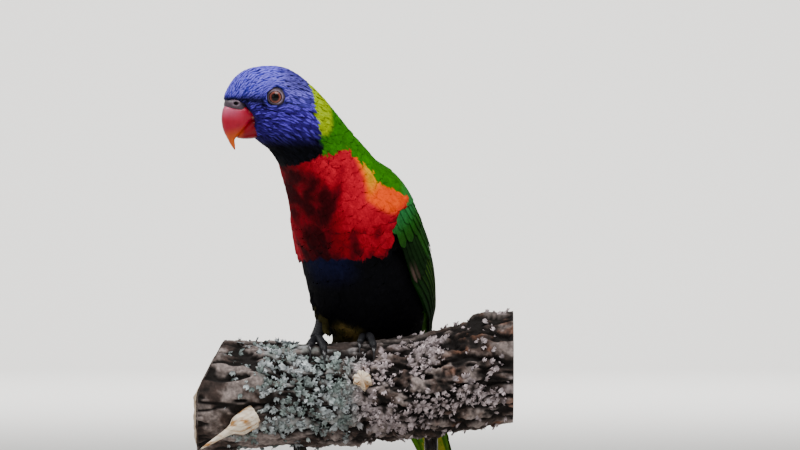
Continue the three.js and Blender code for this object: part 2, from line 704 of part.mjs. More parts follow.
// Stand: a plate with rounded corners, and two rods in collars.
function makeBase() {
  const [a, b, r] = [BASE_LENGTH / 2 - BASE_BEVEL, BASE_DEPTH / 2 - BASE_BEVEL, BASE_CORNER];
  const outline = new THREE.Shape();
  outline.moveTo(-a + r, -b);
  outline.lineTo(a - r, -b).absarc(a - r, -b + r, r, -Math.PI / 2, 0);
  outline.lineTo(a, b - r).absarc(a - r, b - r, r, 0, Math.PI / 2);
  outline.lineTo(-a + r, b).absarc(-a + r, b - r, r, Math.PI / 2, Math.PI);
  outline.lineTo(-a, -b + r).absarc(-a + r, -b + r, r, Math.PI, 1.5 * Math.PI);
  const plate = new THREE.ExtrudeGeometry(outline, {
    depth: BASE_THICK - 2 * BASE_BEVEL,
    bevelThickness: BASE_BEVEL,
    bevelSize: BASE_BEVEL,
    bevelSegments: 2,
    curveSegments: 5,
  });
  return solid(plate.translate(0, 0, BASE_BEVEL));
}

function makeRod(x) {
  const low = BASE_THICK + GAP;
  const high = perchLine(x).z;
  const rod = new THREE.CylinderGeometry(ROD_RADIUS, ROD_RADIUS, high - low, 16).rotateX(Math.PI / 2);
  return solid(rod).translate(x, 0, (low + high) / 2).subtract(makePerch(GAP));
}

function makeCollar(x) {
  const profile = [
    [ROD_RADIUS + GAP, 0],
    [COLLAR_RADIUS, 0],
    [COLLAR_RADIUS, COLLAR_HEIGHT * 0.6],
    [COLLAR_RADIUS * 0.8, COLLAR_HEIGHT],
    [ROD_RADIUS + GAP, COLLAR_HEIGHT],
    [ROD_RADIUS + GAP, 0],
  ].map(([r, z]) => new THREE.Vector2(r, z));
  const ring = new THREE.LatheGeometry(profile, 14).rotateX(Math.PI / 2);
  return solid(ring).translate(x, 0, BASE_THICK + GAP);
}

// Colours and finishes
const finish = (color, roughness, metalness = 0) => new THREE.MeshStandardMaterial({ color, roughness, metalness });
const plumageBlue = finish("#2c2fa0", 0.7);
const plumageGreen = finish("#2f8a1e", 0.7);
const plumageRed = finish("#c41c20", 0.7);
const billRed = finish("#cc3a3f", 0.35);
const ceramicEye = finish("#8a3a24", 0.1);
const greyScale = finish("#4b4a50", 0.6);
const horn = finish("#2c2a2d", 0.35);
const bark = finish("#5e554c", 0.9);
const wood = finish("#c9a67a", 0.8);
const plinth = finish("#2f2621", 0.4);
const steel = finish("#8f9194", 0.3, 1);

const group = new THREE.Group();

// Adds a node. Where crossings among its feathers leave an edge that isn't clean, they are nudged by hundredths of a
// millimetre and joined again.
function place(name, make, material) {
  for (let nudge = 0; nudge < 40; nudge += 1) {
    const geometry = largest(make(nudge));
    if (!geometry) continue;
    const mesh = new THREE.Mesh(geometry, material);
    mesh.name = name;
    group.add(mesh);
    return;
  }
  throw new Error(`${name} has no clean closed surface`);
}

const placeOnBird = (name, make, material) => place(name, (nudge) => solidToWorld(make(nudge)), material);

placeOnBird("torso", makeTorso, plumageRed);
placeOnBird("neck", makeNeck, plumageGreen);
placeOnBird("head", makeHead, plumageBlue);
placeOnBird("cere", makeCere, greyScale);
placeOnBird("upper_bill", makeUpperBill, billRed);
placeOnBird("lower_bill", makeLowerBill, billRed);
placeOnBird("tail", makeTail, plumageGreen);
for (const [name, side] of [["left", 1], ["right", -1]]) {
  placeOnBird(`eye_${name}`, () => makeEye(side), ceramicEye);
  placeOnBird(`wing_${name}`, (nudge) => makeWing(side, nudge), plumageGreen);
}
for (const foot of FEET) {
  placeOnBird(`thigh_${foot.name}`, () => makeThigh(foot), plumageGreen);
  place(`foot_${foot.name}`, () => makeFoot(foot), greyScale);
  TOES.forEach((toe, i) => place(`claw_${foot.name}_${i + 1}`, () => makeClaw(foot, toe), horn));
}
place("perch", () => makePerch(), bark);
place("perch_cut_stub", makeCutStub, wood);
place("perch_spike", makeSpike, wood);
place("stand_base", makeBase, plinth);
ROD_PLACES.forEach((x, i) => {
  place(`stand_rod_${i + 1}`, () => makeRod(x), steel);
  place(`stand_collar_${i + 1}`, () => makeCollar(x), steel);
});

export default group;
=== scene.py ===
"""Looks of a rainbow lorikeet that grips a cut length of branch on a display stand.

The packed CAD part is the fixed frame. Its flesh, wings, tail, bill, feet, branch and stand are replaced
here by finer surfaces, worked out with numpy in millimetres and written to the meshes in metres. They keep
the solids' size, but for the tips of the folded wings, which end higher on the tail, and a slightly flatter
forehead."""

from types import SimpleNamespace

import bpy
import numpy as np
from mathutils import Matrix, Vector, kdtree


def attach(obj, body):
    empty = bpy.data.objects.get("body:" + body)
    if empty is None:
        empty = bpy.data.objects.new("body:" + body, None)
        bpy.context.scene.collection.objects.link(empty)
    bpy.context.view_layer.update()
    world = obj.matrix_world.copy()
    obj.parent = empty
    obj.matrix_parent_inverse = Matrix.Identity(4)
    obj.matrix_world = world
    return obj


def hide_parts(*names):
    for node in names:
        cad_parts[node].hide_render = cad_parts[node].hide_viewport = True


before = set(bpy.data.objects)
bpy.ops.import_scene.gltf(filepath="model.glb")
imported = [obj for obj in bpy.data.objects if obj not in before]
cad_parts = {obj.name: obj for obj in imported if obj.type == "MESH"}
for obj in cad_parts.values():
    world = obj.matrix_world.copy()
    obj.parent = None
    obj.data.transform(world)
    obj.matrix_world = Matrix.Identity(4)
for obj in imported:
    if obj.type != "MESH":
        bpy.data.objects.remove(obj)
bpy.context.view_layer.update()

bl_info = {
    "name": "Perched lorikeet model",
    "version": (1, 0, 0),
    "blender": (4, 5, 0),
    "location": "3D View > Sidebar > Lorikeet",
    "description": "Builds the plumage, bill, eyes, feet, branch and stand of a life-size lorikeet model",
    "category": "Object",
}

MM = 0.001  # one millimetre in metres


# Small helpers for numbers and colours


def linear(code):
    """A colour from its sRGB hex code: each part over 0.04045 is ((c + 0.055) / 1.055) to the power 2.4."""
    parts = np.array([int(code[i : i + 2], 16) / 255 for i in (1, 3, 5)])
    return np.where(parts > 0.04045, ((parts + 0.055) / 1.055) ** 2.4, parts / 12.92)


def mix(a, b, share):
    """Straight blend from a to b, with the share given for each row."""
    share = np.asarray(share)[..., None]
    return a * (1 - share) + b * share


def step(low, high, value):
    """Smooth rise from 0 at low to 1 at high, as 3u² - 2u³."""
    u = np.clip((value - low) / (high - low), 0, 1)
    return u * u * (3 - 2 * u)


def through(table, place):
    """Uniform Catmull-Rom curve through the rows of a table, at places counted in rows."""
    place = np.asarray(place, float)
    last = len(table) - 1
    i = np.clip(np.floor(place).astype(int), 0, last - 1)
    u = (place - i)[..., None]
    b, c = table[i], table[i + 1]
    a = np.where((i > 0)[..., None], table[np.maximum(i - 1, 0)], 2 * b - c)
    d = np.where((i + 1 < last)[..., None], table[np.minimum(i + 2, last)], 2 * c - b)
    curve = 2 * b + (c - a) * u + (2 * a - 5 * b + 4 * c - d) * u**2 + (3 * b - a - 3 * c + d) * u**3
    return 0.5 * curve


def power(value, exponent):
    """A power that keeps the sign."""
    return np.sign(value) * np.abs(value) ** exponent


def unit(vectors):
    """Vectors brought to length 1."""
    return vectors / np.maximum(np.linalg.norm(vectors, axis=-1, keepdims=True), 1e-9)


def turns(count):
    """Angles in radians, evenly round the circle from 0."""
    return 2 * np.pi * np.arange(count) / count


def read(table, place, column=1):
    """A column of a table in straight lines, at places counted as in its first column."""
    return np.interp(place, table[:, 0], table[:, column])


def lattice(cells, seed):
    """A fixed random number from 0 to 1 for each cell of a cubic lattice, mixed from its three whole
    numbers."""
    i = cells.astype(np.int64)
    mixed = i[..., 0] * 374761393 + i[..., 1] * 668265263 + i[..., 2] * 1274126177 + seed * 362437
    mixed = mixed & 0xFFFFFFFF
    mixed = ((mixed ^ (mixed >> 13)) * 1103515245) & 0xFFFFFFFF
    mixed = ((mixed ^ (mixed >> 15)) * 134775813) & 0xFFFFFFFF
    return (mixed ^ (mixed >> 16)) / 0xFFFFFFFF


def noise(points, size, seed=0):
    """Value noise from 0 to 1: the lattice's numbers, blended across each cell by 3u² - 2u³."""
    scaled = points / size
    base = np.floor(scaled)
    u = scaled - base
    u = u * u * (3 - 2 * u)
    total = 0
    for corner in range(8):
        offset = np.array([corner & 1, corner >> 1 & 1, corner >> 2])
        total = total + np.prod(np.where(offset, u, 1 - u), axis=-1) * lattice(base + offset, seed)
    return total


def layered(points, size, layers=4, seed=0):
    """Noise at halving sizes and halving strengths, brought back to 0 to 1."""
    parts = [noise(points, size / 2**k, seed + k) / 2**k for k in range(layers)]
    return sum(parts) / (2 - 2 ** (1 - layers))


# The bird's form. Millimetres in the bird's frame: forward, left and up from the branch's top between its
# feet.

BODY_TURN = 40  # degrees from facing -Y towards -X
HEAD_TURN = 35  # further degrees to its own right
PERCH_TOP = 136  # height of the branch's top under the bird
HEAD_CENTRE = np.array([48.5, -8, 119.6])  # between the eyes
SQUARENESS = 2.2  # 2 is an ellipse
BILL_BASE = 13  # last station
TAIL_ROOT = 2  # station where the body ends and the tail begins
EYE_PLACE = (-0.9, 11.8, -0.9)  # the left eye's centre, ahead, left and up of the point between the eyes
EYE_RADIUS = 4.4
EYE_AHEAD = 14  # degrees that each eye looks ahead of straight sideways

# Along the body from the tail's tip to the bill's base: forward, left, up, half width, depth to the back
# and to the belly, and the degrees that the section's axis rises and is turned to the right.
STATIONS = np.array(
    [
        [-101, 0, -114, 8, 2.2, 2.2, 63, 0],
        [-72, 0, -57, 12.5, 3.4, 3.4, 62.5, 0],
        [-45, 0, -5, 14.5, 8, 8.5, 62, 0],
        [-34, -0.8, 15, 24, 13.5, 21.5, 61, 0],
        [-24, -1.5, 33, 30.2, 18, 32.5, 60, 0],
        [-13, -1, 51, 30.5, 21, 30, 58, 0],
        [-2, -0.5, 68, 28.7, 20, 27, 55.5, 0],
        [9, 0, 83, 23.5, 16.5, 23, 50.5, 0],
        [21, 0.3, 96, 18.5, 15, 21.6, 42, 5],
        [35.5, 0.3, 108.5, 16.4, 16, 21.8, 28, 20],
        [43.6, -4.6, 114.8, 16, 18.2, 21.8, 12, HEAD_TURN],
        [51, -9.7, 115.1, 14.4, 18.6, 19.3, -4, HEAD_TURN],
        [56.3, -13.5, 113.1, 10.2, 17.5, 15.2, -16, HEAD_TURN],
        [60.4, -16.3, 109.4, 6, 11.9, 11.8, -38, HEAD_TURN],
    ],
    float,
)

# Where feathers end and the bill begins, as up and ahead from between the eyes, from the chin to the cere.
FACE_EDGE = np.array(
    [[-26, 8.6], [-16.2, 8.5], [-13, 8], [-11, 8.1], [-9, 9.5], [-6, 11.5], [-3.7, 13.4], [-2.6, 19.4]], float
)

# Depth of the coat of feathers over the skin, by station.
COAT_DEPTH = np.array(
    [[0, 0.6], [2, 1.8], [3, 2.8], [6, 2.6], [8, 2.1], [9.3, 1.4], [11, 0.95], [12.5, 0.6], [13, 0.3]]
)


def directions(place):
    """Each section's table row, and its directions ahead, left and up the back."""
    row = through(STATIONS, place)
    rise, turn = np.radians(row[..., 6]), np.radians(row[..., 7])
    left = np.stack([np.sin(turn), np.cos(turn), 0 * turn], -1)
    ahead = np.stack([np.cos(rise) * np.cos(turn), -np.cos(rise) * np.sin(turn), np.sin(rise)], -1)
    return row, ahead, left, np.cross(ahead, left)


def body_point(place, degrees, grow=0.0):
    """The body's outline: at each station a superellipse of power 2.2, whose depth differs on back and
    belly.

    Degrees are 0 at the bird's left, 90 along the back, 180 at its right and -90 on the belly."""
    place, degrees, grow = np.broadcast_arrays(place, degrees, grow)
    row, _, left, up = directions(place)
    c = power(np.cos(np.radians(degrees)), 2 / SQUARENESS)
    s = power(np.sin(np.radians(degrees)), 2 / SQUARENESS)
    across = (row[..., 3] + grow) * c
    high = (np.where(s > 0, row[..., 4], row[..., 5]) + grow) * s
    return row[..., :3] + across[..., None] * left + high[..., None] * up


def to_head(points):
    """Points of the bird's frame in the head's own: ahead to the bill, left, and up, from between the
    eyes."""
    turn = np.radians(HEAD_TURN)
    away = points - HEAD_CENTRE
    ahead = away[..., 0] * np.cos(turn) - away[..., 1] * np.sin(turn)
    left = away[..., 0] * np.sin(turn) + away[..., 1] * np.cos(turn)
    return np.stack([ahead, left, away[..., 2]], -1)


def from_head(points):
    """Points of the head's own frame in the bird's: the turn of to_head undone."""
    turn = np.radians(HEAD_TURN)
    forward = points[..., 0] * np.cos(turn) + points[..., 1] * np.sin(turn)
    left = -points[..., 0] * np.sin(turn) + points[..., 1] * np.cos(turn)
    return np.stack([forward, left, points[..., 2]], -1) + HEAD_CENTRE


def to_world(points):
    """Points of the bird's frame in the row's frame: turned about the vertical and lifted to the branch's
    top."""
    turn = np.radians(-90 - BODY_TURN)
    x = points[..., 0] * np.cos(turn) - points[..., 1] * np.sin(turn)
    y = points[..., 0] * np.sin(turn) + points[..., 1] * np.cos(turn)
    return np.stack([x, y, points[..., 2] + PERCH_TOP], -1)


def face_edge(up):
    """How far ahead feathers reach at a height in the head's frame. Above the cere nothing stops them."""
    return np.where(up > FACE_EDGE[-1, 0], 99, read(FACE_EDGE, up))


def behind_face(points, margin):
    """Moves what lies in front of the feathers' edge back to it, level by level, so that the bill stays
    clear."""
    head = to_head(points)
    head[..., 0] = np.minimum(head[..., 0], face_edge(head[..., 2]) - margin)
    return from_head(head)


EYE_SEEN = np.array([-0.1, -0.9])  # middle of the bare ring on the head's side, ahead and up
EYE_CLEAR = 3.85  # radius of the bare ring that feathers part round
EYE_REACH = 8.0  # radius within which they bend aside
HEAD_SIDE = 8  # mm from the head's middle plane, beyond which a point is on its side


def round_eyes(points):
    """Feathers part round each eye: a distance r under the reach becomes clear + r (reach - clear) /
    reach."""
    head = to_head(points)
    away = head[..., ::2] - EYE_SEEN
    r = np.maximum(np.hypot(away[..., 0], away[..., 1]), 1e-6)
    near = (r < EYE_REACH) & (np.abs(head[..., 1]) > HEAD_SIDE)
    scale = np.where(near, (EYE_CLEAR + r * (EYE_REACH - EYE_CLEAR) / EYE_REACH) / r, 1)
    head[..., ::2] = away * scale[..., None] + EYE_SEEN
    return from_head(head)


# Meshes


def grid_faces(rows, columns, wrap=False, close=False):
    """The quads of a grid of points, row by row. Its columns join round where it wraps, and its last row
    joins its first where it closes."""
    down = np.arange(rows if close else rows - 1)[:, None] * columns
    across = np.arange(columns if wrap else columns - 1)
    a, b = down + across, down + (across + 1) % columns
    return np.stack([a, b, b + columns, a + columns], -1).reshape(-1, 4) % (rows * columns)


def tube(rings):
    """A closed surface over rings of points (rings, around, 3), with a point at the middle of each end. Its
    faces look outward."""
    count, around = rings.shape[:2]
    points = np.concatenate([rings.reshape(-1, 3), rings[0].mean(0)[None], rings[-1].mean(0)[None]])
    k = np.arange(around)
    first, last = count * around, count * around + 1
    start = np.stack([np.full(around, first), (k + 1) % around, k], -1)
    base = (count - 1) * around
    end = np.stack([np.full(around, last), base + k, base + (k + 1) % around], -1)
    return points, outward(points, [grid_faces(count, around, True), start, end])


def outward(points, faces):
    """Turns every face round where the volume that they hold, the sum of a·(b×c), comes out negative."""
    volume = 0
    for part in faces:
        for k in range(1, part.shape[1] - 1):
            a, b, c = points[part[:, 0]], points[part[:, k]], points[part[:, k + 1]]
            volume += np.einsum("ij,ij->i", a, np.cross(b, c)).sum()
    return [part[:, ::-1] for part in faces] if volume < 0 else faces


def together(parts):
    """Several (points, faces, values) as one, with the faces' numbers moved along. Values are arrays per
    point."""
    points, faces, values, count = [], [], {}, 0
    for part_points, part_faces, part_values in parts:
        points.append(part_points)
        faces += [part + count for part in outward(part_points, part_faces)]
        for key, value in part_values.items():
            values.setdefault(key, []).append(value)
        count += len(part_points)
    return np.concatenate(points), faces, {key: np.concatenate(value) for key, value in values.items()}


def in_scene(name, data):
    """A new object with the data, linked to the scene."""
    made = bpy.data.objects.new(name, data)
    bpy.context.scene.collection.objects.link(made)
    return made


def piece(name, points, faces, material, colour=None, maps=None, replaces=(), normals=None):
    """Writes one object: points in millimetres of the row frame, faces as arrays of equal-sided polygons, a
    colour and a normal for each point, and UV maps given point by point. It rides on the one body and
    stands for its CAD nodes."""
    mesh = bpy.data.meshes.new(name)
    mesh.vertices.add(len(points))
    mesh.vertices.foreach_set("co", (points * MM).astype(np.float32).ravel())
    corners = np.concatenate([part.ravel() for part in faces]).astype(np.int32)
    sizes = np.concatenate([np.full(len(part), part.shape[1]) for part in faces])
    starts = np.concatenate([[0], np.cumsum(sizes)[:-1]]).astype(np.int32)
    mesh.loops.add(len(corners))
    mesh.loops.foreach_set("vertex_index", corners)
    mesh.polygons.add(len(sizes))
    mesh.polygons.foreach_set("loop_start", starts)
    mesh.polygons.foreach_set("use_smooth", np.ones(len(sizes), bool))
    mesh.update(calc_edges=True)
    if colour is not None:
        layer = mesh.color_attributes.new("Marking", "FLOAT_COLOR", "POINT")
        opaque = np.hstack([colour, np.ones((len(points), 1))])
        layer.data.foreach_set("color", opaque.astype(np.float32).ravel())
    for key, uv in (maps or {}).items():
        layer = mesh.uv_layers.new(name=key)
        layer.data.foreach_set("uv", uv[corners].astype(np.float32).ravel())
    if mesh.validate():
        raise RuntimeError(f"{name} has faces that are not valid")
    if normals is not None:
        mesh.normals_split_custom_set_from_vertices(normals.astype(np.float32))
    mesh.materials.append(material)
    made = in_scene(name, mesh)
    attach(made, "root")
    if replaces:
        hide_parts(*replaces)
    return made


# Feathers as thin closed vanes that lie on a surface


def vane_faces(along, across):
    """Corner numbers of one vane: a grid on top, and another under it that shares its rim."""
    top = np.arange(along * across).reshape(along, across)
    under = top.copy()
    under[1:-1, 1:-1] = along * across + np.arange((along - 2) * (across - 2)).reshape(along - 2, across - 2)
    upper = np.stack([top[:-1, :-1], top[:-1, 1:], top[1:, 1:], top[1:, :-1]], -1).reshape(-1, 4)
    lower = np.stack([under[:-1, :-1], under[1:, :-1], under[1:, 1:], under[:-1, 1:]], -1).reshape(-1, 4)
    return np.concatenate([upper, lower])


def vanes(surface, place, side, rise, thick, bend=None):
    """Vanes on surface(place, side, rise), each array (vanes, along, across). A vane is a lens: its top
    stands over the middle sheet by half its thickness times 1 - s⁴, less over the first and last sixth of
    its length, and its underside lies as far below. Returns the points (vanes, points, 3), the quads, and
    each point's own share across (-1 to 1) and along (0 to 1)."""
    count, along, across = place.shape
    s = np.broadcast_to(np.linspace(-1, 1, across), (along, across))
    t = np.broadcast_to(np.linspace(0, 1, along)[:, None], (along, across))
    body = (1 - s**4) * np.minimum(1, 6 * np.minimum(t, 1 - t))
    top = surface(place, side, rise + 0.5 * thick * body)
    under = surface(place, side, rise - 0.5 * thick * body)[:, 1:-1, 1:-1]
    points = np.concatenate([top.reshape(count, -1, 3), under.reshape(count, -1, 3)], 1)
    if bend:
        points = bend(points)
    share_across = np.concatenate([s.ravel(), s[1:-1, 1:-1].ravel()])
    share_along = np.concatenate([t.ravel(), t[1:-1, 1:-1].ravel()])
    quads = vane_faces(along, across)
    probe = points[:, quads[(along - 1) * (across - 1) // 2]]
    normal = np.cross(probe[:, 1] - probe[:, 0], probe[:, 3] - probe[:, 0])
    middle = along // 2, across // 2
    out = (surface(place, side, rise + 1.0) - surface(place, side, rise))[:, middle[0], middle[1]]
    if np.einsum("ij,ij->i", normal, out).sum() < 0:
        quads = quads[:, ::-1]
    offsets = np.arange(count)[:, None, None] * points.shape[1]
    return points, (quads + offsets).reshape(-1, 4), share_across, share_along


def slopes(surface, place, side, small):
    """How far the surface moves over twice a small step of place, and of side."""
    by_place = surface(place + small, side, 0) - surface(place - small, side, 0)
    return by_place, surface(place, side + small, 0) - surface(place, side - small, 0)


def soft_normals(surface, place, side, points, softness):
    """Normals for vanes that make them lie like silk: each point's own, from its neighbours on the vane,
    blended with the normal of the surface under it, and turned about on the underside."""
    count, along, across = place.shape
    under = unit(np.cross(*slopes(surface, place, side, 1e-2)))
    out = surface(place, side, 1.0) - surface(place, side, 0)
    under *= np.sign((under * out).sum(-1, keepdims=True))
    top = points[:, : along * across].reshape(count, along, across, 3)
    own = unit(np.cross(np.gradient(top, axis=1), np.gradient(top, axis=2)))
    own *= np.sign((own * under).sum(-1, keepdims=True))
    blend = unit(own * (1 - softness) + under * softness)
    inner = -blend[:, 1:-1, 1:-1]
    both = np.concatenate([blend.reshape(count, -1, 3), inner.reshape(count, -1, 3)], 1)
    return (to_world(both) - to_world(np.zeros(3))).reshape(-1, 3)


def vane_part(surface, sheet, points, faces, softness, colour, maps):
    """Vanes as a part for together: points, quads, and values point by point."""
    normals = soft_normals(surface, sheet[0], sheet[1], points, softness)
    return points.reshape(-1, 3), [faces], {"colour": colour.reshape(-1, 3), "normals": normals, **maps}


def vane_piece(name, parts, material, replaces=()):
    """One green piece from several parts of vanes."""
    points, faces, values = together(parts)
    colour, normals = np.clip(values.pop("colour"), 0, 1), values.pop("normals")
    piece(name, to_world(points), faces, material, colour, values, replaces, normals)


def speeds(surface, place, side):
    """Millimetres of surface for one unit of place and of side, by small differences."""
    small = 1e-3
    return [np.linalg.norm(way, axis=-1) / (2 * small) for way in slopes(surface, place, side, small)]


def spread(surface, places, sides, spacing, draws, rng, keep=None):
    """Roots spread evenly: random draws kept in proportion to their area over spacing², then thinned so
    that no two stand nearer than the spacing. Returns places and sides."""
    place = rng.uniform(*places, draws)
    side = rng.uniform(*sides, draws)
    by_place, by_side = speeds(surface, place, side)
    gap = spacing(place, side) if callable(spacing) else np.full(draws, spacing)
    weight = by_place * by_side / gap**2
    chosen = rng.uniform(0, 1, draws) < weight / np.quantile(weight, 0.98)
    if keep is not None:
        chosen &= keep(place, side)
    place, side, gap = place[chosen], side[chosen], gap[chosen]
    points = surface(place, side, 0)
    tree = kdtree.KDTree(len(points))
    for i, point in enumerate(points):
        tree.insert(point, i)
    tree.balance()
    alive = np.ones(len(points), bool)
    for i in range(len(points)):
        if alive[i]:
            for _, j, _ in tree.find_range(points[i], gap[i]):
                alive[j] = alive[j] and j == i
    return place[alive], side[alive]


def lay(
    surface, place, side, length, half, shape, rise, rng, size, lean=6.0, ragged=0.08, arch=0.12,
        thick=0.22, barbs=0.0
):
    """Feathers from their roots towards lower places. Along the vane t and across it s, a point lies L t
    back and w(t) s aside in the tangent plane, turned by a random lean, and at rise(t) over the surface,
    less arch w s². Each lengthwise line of the vane ends at its own random reach and is lifted at random,
    as clumps of barbs are."""
    along, across = size
    count = len(place)
    t = np.linspace(0, 1, along) ** 0.92
    s = np.linspace(-1, 1, across)
    reach = 1 - ragged * rng.uniform(0, 1, (count, 1, across))
    wide = np.interp(t, *shape)[None, :, None] * half[:, None, None]
    back = length[:, None, None] * t[None, :, None] * reach
    aside = wide * s
    turn = np.radians(rng.normal(0, lean, count))[:, None, None]
    by_place, by_side = speeds(surface, place, side)
    down = back * np.cos(turn) - aside * np.sin(turn)
    over = back * np.sin(turn) + aside * np.cos(turn)
    places = place[:, None, None] - down / by_place[:, None, None]
    sides = side[:, None, None] + over / by_side[:, None, None]
    rises = rise(place[:, None, None], t[None, :, None], places, sides) - arch * wide * s**2
    rises = rises + rng.normal(0, 0.05, (count, 1, 1))
    rises = rises + t[:, None] * barbs * rng.normal(0, 1, (count, 1, across))
    return places, sides, rises, thick


def root_patch(u, v, across, along, unit=0.003):
    """OFBake: each feather is a patch 0.003 across at its root's place on the unwrap."""
    return np.stack([u[:, None] + across * unit / 2, v[:, None] + (along - 0.5) * unit], -1).reshape(-1, 2)


# Markings: one function of station and degrees gives the colour of skin and coat alike


def fold(degrees):
    """Degrees of either side as the left side's, from -90 on the belly to 90 on the back."""
    turned = (degrees + 180) % 360 - 180
    return np.where(turned > 90, 180 - turned, np.where(turned < -90, -180 - turned, turned))


def nape_line(f):
    """Station where the blue head ends."""
    degrees = [-90, -55, -38, -28, -20, -12, 5, 30, 60, 90]
    return np.interp(f, degrees, [8.53, 8.46, 8.33, 8.28, 8.38, 8.61, 8.99, 9.2, 9.35, 9.4])


def green_edge(place):
    """Degrees above which the body is green."""
    lower = [
        [0, -8], [3, -4], [4.6, 2], [5.6, 2], [5.74, 3], [5.8, 11], [5.88, 20], [6.04, 15], [6.26, 9],
        [6.42, 3]
    ]
    upper = [
        [6.7, 1], [6.96, 3], [7.3, 2], [7.6, -2], [7.78, -1], [7.92, -2], [8.06, -16], [8.2, -28],
        [8.4, -33]
    ]
    return read(np.array(lower + upper, float), place)


def belly_line(f):
    """Station where the red breast ends."""
    return np.interp(
        f, [-90, -62, -48, -32, -22, -13, -5, 10], [5.36, 5.22, 5.12, 5.03, 5.1, 5.25, 5.25, 5.25]
    )


def zones(place, degrees):
    """Which marking a root belongs to: 0 the blue head before the nape line, 1 the yellow-green band and
    the green back, 2 the red breast, 3 the dark belly behind the belly line."""
    f = fold(degrees)
    is_back = f > green_edge(place)
    is_belly = ~is_back & (place < belly_line(f))
    return np.where(place > nape_line(f), 0, np.where(is_back, 1, np.where(is_belly, 3, 2)))


def markings(place, degrees, zone):
    """Main colour and streak colour of each point within its zone. The head goes from pale violet blue on
    the crown to near black at the throat, by height, partly its own colours and partly painted light from
    above and painted shade underneath; the back of the crown is darker with painted shade, and a dark band
    runs between bill and eye. The breast is mottled and darker towards its middle and lower part, partly its
    own dark barring and partly painted shade, and yellow and orange at its side. The belly is near black, its
    deep violet blue darkened by painted shade, shows that blue just behind the breast, and is olive at the
    vent. Back feathers next to the bend of the wing take its painted bluish sheen."""
    look = settings("plumage")
    place, degrees, zone = np.broadcast_arrays(place, degrees, zone)
    f = fold(degrees)
    where = body_point(place, degrees)
    ahead, _, up = np.moveaxis(to_head(where), -1, 0)

    # Partly the head's own colours, partly painted light on the crown from above and painted shade under the
    # chin.
    head = mix(look.cheek, look.crown, step(-5, 3, up))
    behind = step(-9, -4, up) * step(1, -7, ahead) * (1 - 0.35 * step(6, 12, up))
    head = mix(head, look.temple, behind)
    head = mix(head, look.throat, step(-14, -26, up))
    streak = mix(look.cheek_streak, look.crown_streak, step(-7, 3, up))
    streak = mix(streak, look.throat * 2, step(-14, -25, up))
    low = np.interp(ahead, [2, 19], [-2.9, -1.7])
    high = np.interp(ahead, [3, 10, 19], [3.0, 2.3, 1.4])
    lore = 0.95 * np.exp(-(((up - low) / high) ** 2)) * step(0.5, 4, ahead)
    head = mix(head, look.lore, lore)
    streak = mix(streak, look.lore * 1.5, lore)
    # Painted shade: the back of the crown taken darker, partly its own duller tone.
    rear = (1 - 0.5 * step(0, 5, up) * step(-3, -11, ahead))[..., None]
    head, streak = head * rear, streak * rear

    band_end = np.interp(f, [-14, -5, 8, 30, 60, 90], [8.75, 8.5, 8.5, 8.62, 8.7, 8.72])
    back = mix(look.back_green, look.nape, step(band_end - 0.1, band_end + 0.08, place))
    back = mix(back, look.flank, step(4.4, 3.0, place) * step(30, 5, f))
    # Painted sheen: back feathers next to the wing's bend take the bend's pale bluish green.
    back = mix(back, look.wing_bend_sheen, 0.7 * step(6.3, 5.75, place) * step(5.0, 5.3, place) * step(62, 28, f))

    low = np.interp(place, [5.6, 6, 6.5, 7, 7.4, 7.8], [0, -12, -23, -11, -4, 3])
    patch = step(low - 5, low + 3, f) * step(5.7, 5.95, place) * step(7.95, 7.75, place)
    warm = mix(look.orange, look.yellow, step(low - 1, low + 9, f) * step(6.4, 6.9, place))
    blotch = layered(where * np.array([1, 1, 0.5]), 6.0, 3, 61)
    blotch = blotch + 0.2 * step(-45, -80, f) - 0.12 * step(-55, -25, f)
    # Painted shade: the breast darker towards its middle and lower part, which face away from the light; the
    # mottling over it is partly the breast's own dark barring and partly painted shade.
    breast = mix(look.breast, look.breast_middle_shade, np.maximum(step(-35, -75, f), 0.6 * step(6.4, 5.6, place)))
    breast = mix(breast, look.breast_shade, 0.85 * step(0.46, 0.76, blotch))
    breast = mix(breast, warm, patch)

    # Painted shade: the belly near black over its deep violet blue, which shows just behind the breast.
    belly = mix(look.belly, look.belly_blue, step(4.4, 5.2, place) * step(-50, -80, f))
    vent = mix(look.vent, look.vent_warm, step(0.4, 0.65, layered(where, 6.0, 2, 62)))
    edge = np.interp(f, [-90, -80, -70, -45], [3.8, 3.6, 3.2, 2.5])
    belly = mix(belly, vent, step(edge, edge - 0.35, place))

    main = head
    for number, colour in ((1, back), (2, breast), (3, belly)):
        main = np.where((zone == number)[..., None], colour, main)
    return main, streak


# What a user may change

def swatch(code, name):
    """A colour property, shown as a swatch, with its default from an sRGB hex code."""
    held = {"name": name, "description": f"{name}: colour", "default": tuple(linear(code))}
    return bpy.props.FloatVectorProperty(subtype="COLOR", size=3, min=0, max=1, **held)


def size_property(name, text, value, low, unit="LENGTH"):
    """A length or a power as a property."""
    return bpy.props.FloatProperty(name=name, description=text, default=value, min=low, unit=unit)


